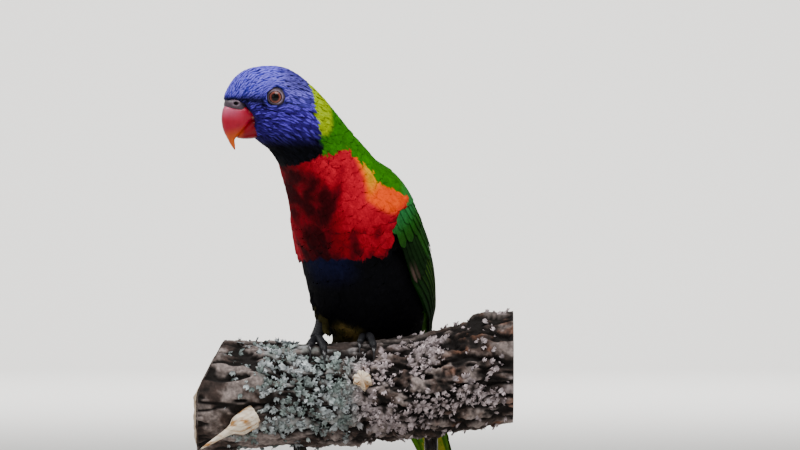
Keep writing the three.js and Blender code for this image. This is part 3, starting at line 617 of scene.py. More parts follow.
class LorikeetPlumage(bpy.types.PropertyGroup):
    """Colours and sizes of the coat of feathers."""

    crown: swatch("#4640d8", "Crown, violet blue")
    cheek: swatch("#30197c", "Cheeks")
    throat: swatch("#090a10", "Chin and throat")
    temple: swatch("#413a96", "Behind the eye")
    lore: swatch("#0a0b1c", "Between bill and eye")
    crown_streak: swatch("#8a7ffa", "Shafts of the crown's feathers")
    cheek_streak: swatch("#6a52ea", "Shafts of the cheeks' feathers")
    nape: swatch("#9bb600", "Band over the nape")
    back_green: swatch("#2b7300", "Back and shoulders")
    flank: swatch("#375f16", "Lower back and flanks")
    breast: swatch("#c0122a", "Breast")
    # Painted shade on the middle and lower breast.
    breast_middle_shade: swatch("#7a0a18", "Middle of the breast")
    breast_shade: swatch("#17060a", "Dark mottling of the breast")
    yellow: swatch("#e09c00", "Yellow at the breast's side")
    orange: swatch("#fa4c00", "Orange beside the wing")
    # Painted shade: the belly's deep violet blue darkened to near black.
    belly: swatch("#0a0a0d", "Belly")
    belly_blue: swatch("#121430", "Belly just behind the breast")
    vent: swatch("#57502c", "Vent and thighs, olive")
    vent_warm: swatch("#8a7440", "Vent, brownish yellow")
    wing_green: swatch("#225f12", "Wing coverts")
    # Painted sheen: the pale bluish green at the bend of the wing.
    wing_bend_sheen: swatch("#2c7440", "Bend of the wing")
    wing_dark: swatch("#0a0b09", "Inner webs of the long feathers")
    wing_deep: swatch("#152f10", "Wing, deep green")
    wing_tan: swatch("#5f4c45", "Tips of the first primary coverts")
    wing_edge: swatch("#6f9c2c", "Outer edges of the long feathers")
    tail_green: swatch("#2c7417", "Upper side of the tail")
    tail_under: swatch("#8a8d2a", "Under side of the tail")
    head_gap: size_property(
        "Head feather gap", "Between the roots of the head's feathers", 1.15 * MM, 0.6 * MM
    )
    body_gap: size_property(
        "Body feather gap", "Between the roots of the body's feathers", 2.9 * MM, 1.2 * MM
    )
    seed: bpy.props.IntProperty(
        name="Seed", description="Number that the random lie of the feathers starts from", default=7, min=0
    )


class LorikeetBill(bpy.types.PropertyGroup):
    """Colours of the bill, eyes and feet."""

    bill_red: swatch("#ae1230", "Bill, red")
    # Painted highlight: pale pink over the top of the upper bill.
    bill_top_highlight: swatch("#c8607e", "Bill, pale pink painted highlight on top")
    bill_tip: swatch("#dc6210", "Bill's tip, orange")
    lower_red: swatch("#840c1c", "Lower bill")
    gape: swatch("#d8b98a", "Dry flakes at the gape")
    cere_grey: swatch("#4b3d47", "Bare skin above the bill")
    iris: swatch("#6e2e24", "Iris")
    iris_rim: swatch("#965a4e", "Iris, outer part")
    eye_ring: swatch("#6c5a68", "Bare skin round the eye")
    scale_grey: swatch("#19191c", "Scales of the feet")
    claw_grey: swatch("#1d1b1d", "Claws")


class LorikeetPerch(bpy.types.PropertyGroup):
    """Sizes and colours of the branch and its lichen."""

    bark_dark: swatch("#1c1816", "Bark, in its cracks")
    bark_brown: swatch("#54453f", "Bark, brown")
    bark_rust: swatch("#7d5038", "Bark, where plates have flaked off")
    bark_grey: swatch("#8f827d", "Bark, weathered grey")
    lichen_pale: swatch("#c6cdcf", "Lichen, pale")
    lichen_green: swatch("#87938f", "Lichen, grey green")
    lichen_pink: swatch("#c9b6b8", "Lichen on the right, pinkish grey")
    wood_pale: swatch("#fbecd4", "Bare wood, pale")
    wood_tan: swatch("#b58046", "Bare wood, tan")
    lobe_gap: size_property("Lichen gap", "Distance between the lobes of the lichen", 1.55 * MM, 1.0 * MM)


class LorikeetStand(bpy.types.PropertyGroup):
    """Colours of the display stand."""

    wood_dark: swatch("#2a1b13", "Stand wood, dark grain")
    wood_warm: swatch("#5b3a25", "Stand wood, between the grain")
    steel: swatch("#a9abad", "Brushed steel")


class LorikeetStudio(bpy.types.PropertyGroup):
    """Camera, light and floor."""

    distance: size_property("Camera distance", "From the camera to the middle of the branch", 4.0, 1.0)
    frame_width: size_property("Width in view", "Width of the picture at the branch", 0.3902, 0.05)
    floor: swatch("#d6d4d0", "Floor and backdrop")
    key_power: size_property("Key light", "Power of the large light overhead", 29.0, 0.0, "POWER")
    fill_power: size_property("Fill light", "Power of the light beside the camera", 4.0, 0.0, "POWER")
    side_power: size_property("Side light", "Power of the light from the bird's front", 12.0, 0.0, "POWER")
    backdrop_power: size_property("Backdrop light", "Power of the light on the backdrop", 420.0, 0.0, "POWER")
    sky: size_property("Room light", "Strength of the even light of the room", 0.26, 0.0, "NONE")


def settings(group):
    """One group of settings by its short name, with its colours as arrays and its numbers as they are."""
    held = getattr(bpy.context.scene, "lorikeet_" + group)
    values = {key: getattr(held, key) for key in GROUPS["lorikeet_" + group].__annotations__}
    return SimpleNamespace(
        **{k: v if isinstance(v, (int, float)) else np.array(v) for k, v in values.items()}
    )


# Materials


def node(tree, kind, inputs=None, **settings):
    """Adds a node with its settings; an input is given a value or linked to another node's output."""
    made = tree.nodes.new(kind)
    for key, value in settings.items():
        setattr(made, key, value)
    for key, value in (inputs or {}).items():
        if isinstance(value, bpy.types.NodeSocket):
            tree.links.new(value, made.inputs[key])
        else:
            made.inputs[key].default_value = value
    return made


def start_material(name):
    """A new node material with nothing in it."""
    material = bpy.data.materials.new(name)
    material.use_nodes = True
    material.node_tree.nodes.clear()
    return material, material.node_tree


def grain_noise(tree, grain, stretch=None, **inputs):
    """Noise of the grain's real size in millimetres over the object's own space, drawn out by the
    stretch."""
    vector = node(tree, "ShaderNodeTexCoord").outputs["Object"]
    if stretch:
        vector = node(tree, "ShaderNodeMapping", {"Vector": vector, "Scale": stretch}).outputs["Vector"]
    inputs = {"Vector": vector, "Scale": 1 / (grain * MM), **inputs}
    return node(tree, "ShaderNodeTexNoise", inputs).outputs["Fac"]


def ranged(tree, value, low, high, start=0.3, end=0.7):
    """A value that goes from start to end, brought to go from low to high."""
    inputs = {"Value": value, "From Min": start, "From Max": end, "To Min": low, "To Max": high}
    return node(tree, "ShaderNodeMapRange", inputs).outputs["Result"]


def toned(tree, colour, tone):
    """A colour with its brightness times the tone."""
    return node(tree, "ShaderNodeHueSaturation", {"Value": tone, "Color": colour}).outputs["Color"]


def marking(tree):
    """The colour of each point, as written by piece."""
    return node(tree, "ShaderNodeAttribute", attribute_name="Marking").outputs["Color"]


def finish_material(tree, height, strength, depth, inputs):
    """Ends the material in one Principled shader. Its relief is the height by a strength, over a depth in
    mm."""
    bump = node(tree, "ShaderNodeBump", {"Height": height, "Strength": strength, "Distance": depth * MM})
    shader = node(tree, "ShaderNodeBsdfPrincipled", {**inputs, "Normal": bump.outputs["Normal"]})
    node(tree, "ShaderNodeOutputMaterial", {"Surface": shader.outputs["BSDF"]})


BARB = 0.65  # mm between the barbs that are drawn; real ones, 0.25 mm apart, are too fine to show
BARB_SLANT = 1.1  # mm that a barb runs forward for each mm away from the shaft
# Roughness and specular level of each kind of contour feather.
FEATHER_GLOSS = {"blue": (0.55, 0.03), "green": (0.55, 0.03), "red": (0.6, 0.02), "dark": (0.6, 0.02)}


def feathers(kind):
    """Contour feathers: matt keratin vanes. Their barbs leave the shaft at a slant and give a faint
    ribbing, and no two feathers are quite alike in tone. Each kind's material is made the first time that
    it is asked for."""
    name = kind + "_feathers"
    if name in bpy.data.materials:
        return bpy.data.materials[name]
    material, tree = start_material(name)

    def value(operation, *inputs):
        return node(tree, "ShaderNodeMath", dict(enumerate(inputs)), operation=operation).outputs[0]

    vane = node(tree, "ShaderNodeUVMap", uv_map="Vane")
    split = node(tree, "ShaderNodeSeparateXYZ", {0: vane.outputs["UV"]})
    slant = value("MULTIPLY_ADD", value("ABSOLUTE", split.outputs["X"]), -BARB_SLANT, split.outputs["Y"])
    barbs = value("SINE", value("MULTIPLY", slant, 2 * np.pi / BARB))
    lift = value("MULTIPLY_ADD", barbs, 0.1, grain_noise(tree, 2.2, Detail=2.0, Roughness=0.6))
    colour = toned(tree, marking(tree), ranged(tree, lift, 0.72, 1.3, 0.2, 0.8))
    roughness, specular = FEATHER_GLOSS[kind]
    inputs = {"Base Color": colour, "Roughness": roughness, "Specular IOR Level": specular}
    finish_material(tree, barbs, 0.35, 0.06, inputs)
    return material


def marked_surface(
    name, roughness, grain, depth, contrast, specular=0.5, coat=0.0, subsurface=0.0, stretch=None
):
    """A surface whose colours are in its Marking attribute. Noise of the grain's real size varies its tone
    by the contrast and raises its relief by the depth. A coat gives polished horn or a wet eye its
    gloss."""
    material, tree = start_material(name)
    cloud = grain_noise(tree, grain, stretch, Detail=5.0, Roughness=0.6)
    inputs = {
        "Base Color": toned(tree, marking(tree), ranged(tree, cloud, 1 - contrast, 1 + contrast)),
        "Roughness": roughness, "Specular IOR Level": specular, "Coat Weight": coat, "Coat Roughness": 0.08,
        "Subsurface Weight": subsurface, "Subsurface Scale": 1.5 * MM,
    }
    finish_material(tree, cloud, 0.6, depth, inputs)
    return material


# The skin


def tube_frame(line):
    """Unit vectors along a line of points and two square to it, from the line's own steps and the
    vertical."""
    ahead = unit(np.gradient(line, axis=0))
    upright = np.array([1.0, 0, 0]) if abs(ahead[:, 2]).min() > 0.85 else np.array([0, 0, 1.0])
    across = unit(np.cross(upright, ahead))
    return ahead, across, np.cross(ahead, across)


def round_tube(line, radius, around=24):
    """Rings of a tube: at each point of the line a circle of the given radius, square to the line."""
    _, across, up = tube_frame(line)
    angle = turns(around)
    ring = across[:, None] * np.cos(angle)[:, None] + up[:, None] * np.sin(angle)[:, None]
    return line[:, None] + ring * np.broadcast_to(radius, (len(line), around))[..., None]


ANKLES = {"left": ([-13, 7, 7], [-11, 13, 22]), "right": ([1, -12.5, 9], [-3, -14, 26])}  # ankle and knee
# Share from ankle to knee, and radius.
THIGH = np.array([[-0.1, 2.6], [0.25, 5.2], [0.6, 7.6], [1, 8.8], [1.5, 9.4]])


def thigh_surface(name):
    """A thigh as a cone: at a share of the way from ankle to knee, a circle whose radius is read from the
    table."""
    ankle, knee = (np.array(point, float) for point in ANKLES[name])
    axis = (knee - ankle) / np.linalg.norm(knee - ankle)
    across = np.cross([0, 0, 1.0], axis)
    across /= np.linalg.norm(across)
    up = np.cross(axis, across)

    def surface(share, degrees, grow=0.0):
        share, degrees, grow = np.broadcast_arrays(share, degrees, grow)
        angle = np.radians(degrees)
        radius = read(THIGH, share) + grow
        ring = np.cos(angle)[..., None] * across + np.sin(angle)[..., None] * up
        return ankle + (knee - ankle) * share[..., None] + ring * radius[..., None]

    return surface


class LORIKEET_OT_skin(bpy.types.Operator):
    """Body, head and thighs as one skin that lies inside the coat of feathers"""

    bl_idname = "lorikeet.skin"
    bl_label = "Skin"

    def execute(self, context):
        rows, around = 220, 120
        place = np.linspace(TAIL_ROOT - 0.1, BILL_BASE, rows)[:, None]
        degrees = np.linspace(0, 360, around, endpoint=False)[None]
        shell = behind_face(body_point(place, degrees, -read(COAT_DEPTH, place)), 0.25)
        main, _ = markings(place, degrees, zones(place, degrees))
        points, faces = tube(shell)
        ends = np.stack([main[0].mean(0), main[-1].mean(0)])
        parts = [(points, faces, {"colour": np.concatenate([main.reshape(-1, 3), ends])})]
        # Painted shade under the coat: the thighs' skin takes the vent's olive at half strength.
        thigh_colour = settings("plumage").vent * 0.5
        for name in ANKLES:
            share = np.linspace(0, 1.3, 16)[:, None]
            rings = thigh_surface(name)(share, np.arange(0, 360, 15.0)[None], -1.3)
            points, faces = tube(rings)
            parts.append((points, faces, {"colour": np.tile(thigh_colour, (len(points), 1))}))
        points, faces, values = together(parts)
        # Bird skin and down between the feathers: matt, finely pimpled, and in the shade of the coat.
        material = marked_surface("feathered_skin", 0.85, 1.2, 0.1, 0.2, specular=0.2)
        # Painted shade: all skin colours are taken at 0.55, for the skin lies in the shade of the coat.
        piece(
            "lorikeet_skin", to_world(points), faces, material,
            colour=values["colour"] * 0.55, replaces=["torso", "neck", "head", "thigh_left", "thigh_right"],
        )
        return {"FINISHED"}


# The coat

# Share along, share of width.
ROUNDED = ([0, 0.12, 0.35, 0.6, 0.8, 0.92, 1], [0.3, 0.5, 0.85, 1, 0.92, 0.66, 0.12])
POINTED = ([0, 0.2, 0.5, 0.75, 0.9, 1], [0.45, 0.85, 1, 0.75, 0.42, 0.06])
LONG_BLUNT = ([0, 0.5, 0.85, 0.95, 1], [0.7, 1, 0.85, 0.6, 0.2])
LONG_SHARP = ([0, 0.3, 0.7, 0.9, 1], [0.6, 1, 0.9, 0.5, 0.08])


# How far the tips of fluffed feathers stand off on the chest, between the legs and at the vent, in mm.
CHEST_FLUFF, LEG_FLUFF, VENT_FLUFF = 3.2, 8.0, 6
OVER_WING = 1.3  # mm between the wing's sheet and a feather that reaches over it


def body_rise(place, t, places, sides):
    """Height over the solids' outline: from under the skin at the root to just outside at the tip, and on
    top of the wing where a feather reaches over it. Chest, vent and the belly between the legs are fluffed
    out; the last two add up where they meet."""
    depth = read(COAT_DEPTH, place)
    rise = -(depth + 0.25) + (depth + 0.35) * (1 - (1 - t) ** 2.4)
    f = fold(sides)
    lane = (f - wing_degrees(places, 0)) / (wing_degrees(places, 1) - wing_degrees(places, 0))
    over = step(-0.42, -0.22, lane) * step(1.05, 0.92, lane) * step(6.95, 6.45, places)
    over = over * step(5.5, 5.75, place)
    over = over * (wing_rise(places, lane) + OVER_WING) * step(0.05, 0.4, t)
    chest = CHEST_FLUFF * np.exp(-(((place - 7.55) / 1.1) ** 4)) * step(-40, -70, f) * step(0, 0.3, t)
    legs = LEG_FLUFF * (np.exp(-(((place - 3.5) / 1.1) ** 4)) * step(-40, -68, f)) * t**1.2
    vent = VENT_FLUFF * (step(-35, -70, f) * step(3.9, 3.3, place)) * t**1.5
    return chest + legs + rise + over + vent


def vane_map(across, along, half, length):
    """The UV map Vane: millimetres across and along each feather."""
    return np.stack([across * half[:, None], along * length[:, None]], -1).reshape(-1, 2)


def feather_maps(across, along, half, length, u, v):
    """The UV maps of feathers: OFBake, with a patch for each at its root's place, and Vane."""
    return {"OFBake": root_patch(u, v, across, along), "Vane": vane_map(across, along, half, length)}


def wing_bend_line(f):
    """Station where the coat ends on the folded wing."""
    return np.interp(f, [-28, -23, -17, -10, -5, 8, 30, 60], [5.15, 5.34, 5.48, 5.68, 5.8, 5.75, 5.6, 5.5])


def wing_cover(place, degrees):
    """True where the folded wing hides the body."""
    f = fold(degrees)
    low, high = wing_degrees(place, np.interp(place, [4.5, 5.2], [0.16, -0.12])), wing_degrees(place, 0.9)
    top = np.minimum(wing_bend_line(f) + 0.13, 5.9)
    return (place > 2.3) & (place < top) & (f > low) & ((f < high) | (high > 88))


def coat_roots(rng):
    """Roots of the coat: nearer together towards the bill, none in front of the bill's edge, inside the
    eye's bare ring or under the folded wings."""
    look = settings("plumage")

    def gap(place, degrees):
        head, body = look.head_gap / MM, look.body_gap / MM
        stations = [2, 5, 7, 8.3, 9.1, 10, 11.5, 12.4, 13]
        gaps = [
            body * 1.1, body, body * 0.85, body * 0.66, head * 1.15, head, head * 0.85, head * 0.72,
            head * 0.66
        ]
        return np.interp(place, stations, gaps)

    def keep(place, degrees):
        head = to_head(body_point(place, degrees))
        eye = np.hypot(*(head[:, ::2] - EYE_SEEN).T)
        clear = (eye > 0.9) | (np.abs(head[:, 1]) < HEAD_SIDE)
        return (head[:, 0] < face_edge(head[:, 2]) + 0.1) & clear & ~wing_cover(place, degrees)

    return spread(body_point, (TAIL_ROOT + 0.02, BILL_BASE), (-180, 180), gap, 150000, rng, keep)


def inner_too(grid):
    """Values of a vane's grid for all its points: the grid on top, then the inner part again for the
    underside."""
    count = len(grid)
    rest = grid.shape[3:]
    return np.concatenate([grid.reshape(count, -1, *rest), grid[:, 1:-1, 1:-1].reshape(count, -1, *rest)], 1)


def coat_colours(seen, root, places, sides, across, along, rng):
    """Colour of every point of every feather, and the zone where the feather shows, by which it joins a
    piece. A point's own zone is read between that place and its own, with a little chance. The head's
    shafts are bright on a darker vane, strongly on the crown and on some of the cheeks' feathers; elsewhere
    each lengthwise line has its own tone, and some of the breast's feathers end in a dark edge."""
    count, columns = len(seen), places.shape[2]
    jitter = rng.normal(0, 0.03, count) * np.interp(seen, [7, 9], [2.2, 1])
    turn = rng.normal(0, 1.5, count)
    zone = zones(seen + jitter, root + turn)
    look = settings("plumage")
    shown = 0.4 * (seen + jitter)[:, None, None] + 0.6 * places
    here = zones(shown, sides + turn[:, None, None])
    main, streak = markings(places, sides, here)
    main, streak, here = inner_too(main), inner_too(streak), inner_too(here)
    main = main * np.exp(rng.normal(0, np.where(zone == 0, 0.18, 0.07)))[:, None, None]
    chance = step(6.3, 5.3, seen) * 0.55 + 0.02
    scallop = (zone == 2) * (rng.uniform(0, 1, count) < chance) * rng.uniform(0.25, 0.75, count)
    is_head = here == 0
    up = to_head(body_point(seen, root))[:, 2]
    bright = rng.uniform(0, 1, count) < np.interp(up, [-14, -4, 4], [0.35, 0.6, 0.95])
    bright = np.where(bright, rng.uniform(0.6, 1.15, count), rng.uniform(0, 0.2, count))
    shaft = np.exp(-((across / 0.45) ** 2)) * step(0.1, 0.4, along)
    strength = shaft[None] * bright[:, None] * is_head
    root_shade = np.where(is_head, 0.35 + 0.35 * step(0.1, 0.6, along), 0.82 + 0.18 * step(0.15, 0.6, along))
    column = np.round((across + 1) / 2 * (columns - 1)).astype(int)
    barbs = np.exp(rng.normal(0, 1, (count, columns))[:, column] * np.where(is_head, 0.05, 0.1) * along)
    colour = mix(main * (root_shade * barbs)[..., None], streak, np.clip(strength, 0, 1))
    edge = step(0.8, 0.97, along + 0.12 * across**2)[None] * scallop[:, None]
    return mix(colour, look.belly, edge), zone


def of_vanes(values, count, rows):
    """Point values of some vanes, out of the values for all points of count vanes."""
    width = values.shape[-1]
    return values.reshape(count, -1, width)[rows].reshape(-1, width)


# Feathers of head and body: outline, points along and across, cup, thickness and roughness in mm, and how
# far their normals follow the surface under them.
COAT_KINDS = {
    "head": (POINTED, (8, 3), 0.2, 0.2, 0.0, 0.6), "body": (ROUNDED, (9, 13), 0.05, 0.12, 0.03, 0.88)
}
# Pieces of each: the zones that they hold, the kind of feather and the slot.
COAT_PIECES = {
    "head": {"head": ([0, 1, 2, 3], "blue", "plumage_blue")},
    "body": {
        "back": ([0, 1], "green", "plumage_green"),
        "breast": ([2], "red", "plumage_red"),
        "belly": ([3], "dark", "plumage_red"),
    },
}
MOST_TRIANGLES = 195000  # in one piece of the coat


class LORIKEET_OT_coat(bpy.types.Operator):
    """Contour feathers of the head, neck, breast, belly and back, each a closed vane rooted in the skin"""

    bl_idname = "lorikeet.coat"
    bl_label = "Coat"

    def execute(self, context):
        rng = np.random.default_rng(settings("plumage").seed)
        place, degrees = coat_roots(rng)
        is_head = place > nape_line(fold(degrees)) - 0.35
        self.lay_group(place[is_head], degrees[is_head], "head", rng)
        self.lay_group(place[~is_head], degrees[~is_head], "body", rng)
        vane_piece("thigh_feathers", [self.lay_thigh(name, rng) for name in ANKLES], feathers("dark"))
        return {"FINISHED"}

    def lay_thigh(self, name, rng):
        """Short dark feathers round one thigh, lying towards the ankle."""
        look = settings("plumage")
        surface = thigh_surface(name)
        share, degrees = spread(surface, (0.12, 1.25), (-180, 180), 2.0, 6000, rng)
        count = len(share)
        length = rng.uniform(6.0, 8.5, count) + 3 * step(0.6, 0.2, share)
        half = np.full(count, 2.2)

        def rise(root, t, places, sides):
            return -1.5 + 1.8 * (1 - (1 - t) ** 1.4) + 0.6 * t * step(0.3, 0.05, root)

        sheet = lay(
            surface, share, degrees, length, half, ROUNDED, rise, rng, (8, 9), 9.0, 0.1, 0.1, 0.12, 0.05
        )
        points, faces, across, along = vanes(surface, *sheet)
        # Painted shade: the thighs' olive at half strength, and each feather darker towards its root (0.6)
        # where the others overlap it.
        olive = mix(look.belly, look.vent * 0.5, step(0.7, 0.1, share - rng.normal(0, 0.1, count)))
        olive = olive * np.exp(rng.normal(0, 0.15, count))[:, None]
        colour = olive[:, None] * (0.6 + 0.4 * step(0.1, 0.6, along))[:, None]
        u, v = (degrees / 360) % 1 * 0.2 + (0.01 if name == "left" else 0.26), share * 0.01 + 0.005
        maps = feather_maps(across, along, half, length, u, v)
        return vane_part(surface, sheet, points, faces, 0.6, colour, maps)

    def lay_group(self, place, degrees, part, rng):
        """Lays one kind of feather and writes it as pieces by the zones of the markings."""
        head = to_head(body_point(place, degrees))
        away = head[:, ::2] - EYE_SEEN
        eye = np.hypot(away[:, 0], away[:, 1])
        length = np.interp(
            place, [2, 5, 7, 8, 9, 10, 11, 12, 13], [17, 15, 12.5, 9.6, 6.8, 5.6, 4.6, 3.4, 2.2]
        )
        in_front = (np.abs(head[:, 1]) > 7) & (away[:, 0] > 0) & (np.abs(away[:, 1]) < 3) & (eye < 9)
        length = np.where(in_front, np.minimum(length, np.maximum(eye - 0.6, 0.9)), length)
        length = length * rng.uniform(0.85, 1.12, len(place))
        f = fold(degrees)
        low, high = np.maximum(wing_degrees(place, 0) - 17, -28), wing_degrees(place, 1)
        on_wing = (place < 6.7) & (f > low) & (f < high)
        reach = (place - wing_bend_line(f)) * speeds(body_point, place, degrees)[0]
        length = np.where(on_wing & (place > 5.2), np.minimum(length, np.maximum(reach, 1.5)), length)
        half = np.interp(place, [2, 5, 7, 8, 9, 10, 11.5, 13], [4.4, 4.2, 3.5, 2.6, 1.2, 0.72, 0.6, 0.42])
        shape, size, arch, thick, barbs, softness = COAT_KINDS[part]
        sheet = lay(
            body_point, place, degrees, length, half, shape, body_rise, rng, size, 7.0, 0.05, arch, thick,
                barbs
        )
        points, faces, across, along = vanes(
            body_point, *sheet, bend=lambda p: round_eyes(behind_face(p, -0.15))
        )
        seen = place - 0.7 * length / speeds(body_point, place, degrees)[0]
        colour, zone = coat_colours(seen, degrees, sheet[0], sheet[1], across, along, rng)
        u, v = (degrees / 360) % 1 * 0.98 + 0.01, (place - 2) / 11.2 * 0.98 + 0.01
        maps = feather_maps(across, along, half, length, u, v)
        normals = soft_normals(body_point, sheet[0], sheet[1], points, softness)
        faces = faces.reshape(len(place), -1, 4)
        most = MOST_TRIANGLES // (faces.shape[1] * 2)
        for key, (held, kind, slot) in COAT_PIECES[part].items():
            chosen = np.flatnonzero(np.isin(zone, held))
            for number, rows in enumerate(np.array_split(chosen, -(-len(chosen) // most)), 1):
                piece(
                    f"{key}_feathers_{number}", to_world(of_vanes(points, len(place), rows)),
                    [faces[: len(rows)].reshape(-1, 4)], feathers(kind),
                    colour=np.clip(of_vanes(colour, len(place), rows), 0, 1),
                    maps={name: of_vanes(uv, len(place), rows) for name, uv in maps.items()},
                    normals=of_vanes(normals, len(place), rows),
                )


# Folded wings. Places and degrees of the wing's two edges, and its thickness as a share.

WING_EDGE = np.array(
    [
        [0.7, 34, 72, 0.2],
        [1, 32, 78, 0.25],
        [1.5, 21, 84, 0.45],
        [2.2, 9, 86, 0.75],
        [3, -5, 84, 0.95],
        [4, -13, 79, 1],
        [5, -12, 73, 1],
        [5.9, -2, 66, 0.95],
        [6.35, 10, 57, 0.65],
        [6.6, 24, 48, 0.3],
    ]
)
WING_THICK = 2.5  # mm, at its thickest
GAP = 0.3  # mm between parts that lie on each other


def wing_degrees(place, lane):
    """Degrees of a lane of the wing, from 0 at its lower edge to 1 at its upper one."""
    low, high = read(WING_EDGE, place), read(WING_EDGE, place, 2)
    return low + (high - low) * lane


def wing_rise(place, lane):
    """Height of the wing's sheet over the body: its thickness times 0.3 + 0.7 sin of the way across."""
    arch = 0.3 + 0.7 * np.sin(np.pi * (0.14 + 0.76 * np.clip(lane, -0.18, 1)))
    return GAP + WING_THICK * read(WING_EDGE, place, 3) * arch


def wing_surface(side):
    """The body's outline, read from the left or mirrored to the right."""
    if side == "left":
        return body_point

    def mirrored(place, degrees, rise=0.0):
        return body_point(place, 180 - degrees, rise)

    return mirrored


# Rows of the wing: count, lanes of the first and last feather at the root and at the tip, places of root
# and of the first and last feather's tip, half widths of first and last, lift, and rise over the row below.
WING_ROWS = {
    "primaries": (9, (0.02, 0.34), (0.12, 0.84), 4.9, (1.5, 2.3), (2.5, 3.2), 0.45, 0.0),
    "secondaries": (9, (0.34, 0.92), (0.46, 0.93), 5.2, (2.3, 3.25), (3.6, 4.2), 0.6, 0.15),
    "primary_coverts": (6, (0.03, 0.26), (0.03, 0.24), 5.35, (3.95, 4.3), (2.4, 3.0), 0.45, 0.75),
    "greater_coverts": (9, (0.26, 0.94), (0.28, 0.92), 5.6, (4.25, 4.6), (3.4, 3.8), 0.45, 0.85),
    "median_coverts": (10, (-0.02, 0.92), (0.02, 0.9), 5.85, (4.95, 5.0), (3.2, 3.4), 0.4, 0.95),
    "lesser_coverts": (11, (-0.11, 0.9), (-0.06, 0.88), 6.1, (5.35, 5.4), (3.0, 3.0), 0.4, 0.95),
    "marginal_coverts": (10, (-0.06, 0.88), (-0.07, 0.88), 6.25, (5.65, 5.7), (2.8, 2.8), 0.3, 0.7),
    "bend_coverts": (8, (0.0, 0.86), (-0.02, 0.86), 6.45, (5.95, 6.0), (2.6, 2.6), 0.2, 0.3),
}


def wing_row(name, rng):
    """One row of wing feathers: middle lines run from root to tip while their lane moves from the root's to
    the tip's; across them the rise falls evenly from the outer edge, which stands off, to the inner edge,
    which is sunk under the next feather, with a low ridge along the shaft."""
    count, root_lanes, tip_lanes, first, tips, halves, lift, over = WING_ROWS[name]
    along, across = 14, 7
    u = np.linspace(0, 1, count)
    t = np.linspace(0, 1, along) ** 0.9
    tip = tips[0] + (tips[1] - tips[0]) * u**1.1 + rng.normal(0, 0.02, count)
    place = first + (tip[:, None] - first) * t
    share = t**1.2
    lane = (root_lanes[0] + (root_lanes[1] - root_lanes[0]) * u)[:, None] * (1 - share)
    lane = lane + (tip_lanes[0] + (tip_lanes[1] - tip_lanes[0]) * u)[:, None] * share
    middle = wing_degrees(place, lane)
    centre = through(STATIONS, place)[..., :3]
    radius = np.linalg.norm(body_point(place, middle) - centre, axis=-1)
    half = halves[0] + (halves[1] - halves[0]) * u
    wide = np.interp(t, *(LONG_SHARP if name == "primaries" else LONG_BLUNT)) * half[:, None]
    s = np.linspace(-1, 1, across)
    degrees = middle[..., None] + np.degrees(wide / radius)[..., None] * s * np.where(s < 0, 0.85, 1.1)
    base = wing_rise(place, lane) + over * t[None] ** 0.7 - 1.0 * (1 - step(0, 0.2, t))[None]
    rise = (
        base[..., None] + 0.6 * lift * (1 - s) / 2 - 0.3 * (1 + s) / 2
        + 0.08 * np.exp(-((s + 0.1) ** 2) / 0.03)
    )
    rise = np.maximum(rise, 0.55)
    places = np.broadcast_to(place[..., None], degrees.shape)
    length = np.linalg.norm(np.diff(body_point(place, middle), axis=1), axis=-1).sum(1)
    return places, degrees, rise, half, length


def wing_colour(name, count, place, across, along, rng):
    """Colours of one row. From the lower edge of the wing upwards, the long feathers go from near black to
    green, partly their own dark inner webs and partly painted shade, and are edged with yellowish green; the
    coverts are green, with a painted bluish sheen towards the bend of the wing and painted shade towards the
    lower edge, and the first primary coverts end in tan."""
    look = settings("plumage")
    green, bend = look.wing_green, look.wing_bend_sheen
    dark, edge, deep = look.wing_dark, look.wing_edge, look.wing_deep
    tone = np.exp(rng.normal(0, 0.08, count))[:, None]
    shape = (count, len(across))
    across, along = np.broadcast_to(across, shape), np.broadcast_to(along, shape)
    number = np.linspace(0, 1, count)[:, None] * np.ones(shape)
    if name == "primaries":
        colour = mix(dark, deep, step(0.2, -0.3, across) * step(1.0, 0.7, along))
        colour = mix(colour, edge, step(-0.75, -0.95, across) * 0.5 * step(0.1, 0.7, number))
    elif name == "secondaries":
        colour = mix(deep, green, step(0.1, 0.75, number + 0.2 * (0.5 - across)))
        colour = mix(colour, edge, step(0.6, 0.95, np.abs(across)) * 0.45 * step(0.3, 0.8, number))
    elif name == "primary_coverts":
        colour = mix(dark, deep, 0.4 + 0.4 * number)
        tan = (
            step(0.55, 0.8, along) * step(0.3, 0.1, number) * step(-0.9, -0.5, across)
            * step(0.6, 0.2, across)
        )
        colour = mix(colour, look.wing_tan, 0.9 * tan)
    else:
        # Painted shade: coverts low on the wing and near its lower edge go to deep green; painted sheen:
        # those near the bend take its pale bluish green.
        low = np.maximum(
            step(0.4, 0.05, number) * step(6.0, 5.0, place), step(5.7, 4.9, place) * step(1.0, 0.4, number)
        )
        colour = mix(mix(green, deep, 0.75 * low), bend, 0.85 * step(5.2, 5.8, place))
        colour = mix(colour, deep, 0.2 * step(0.85, 1, along))
    shaft = np.exp(-(((across + 0.1) / 0.07) ** 2))
    return mix(colour, dark, 0.35 * shaft) * tone[..., None]


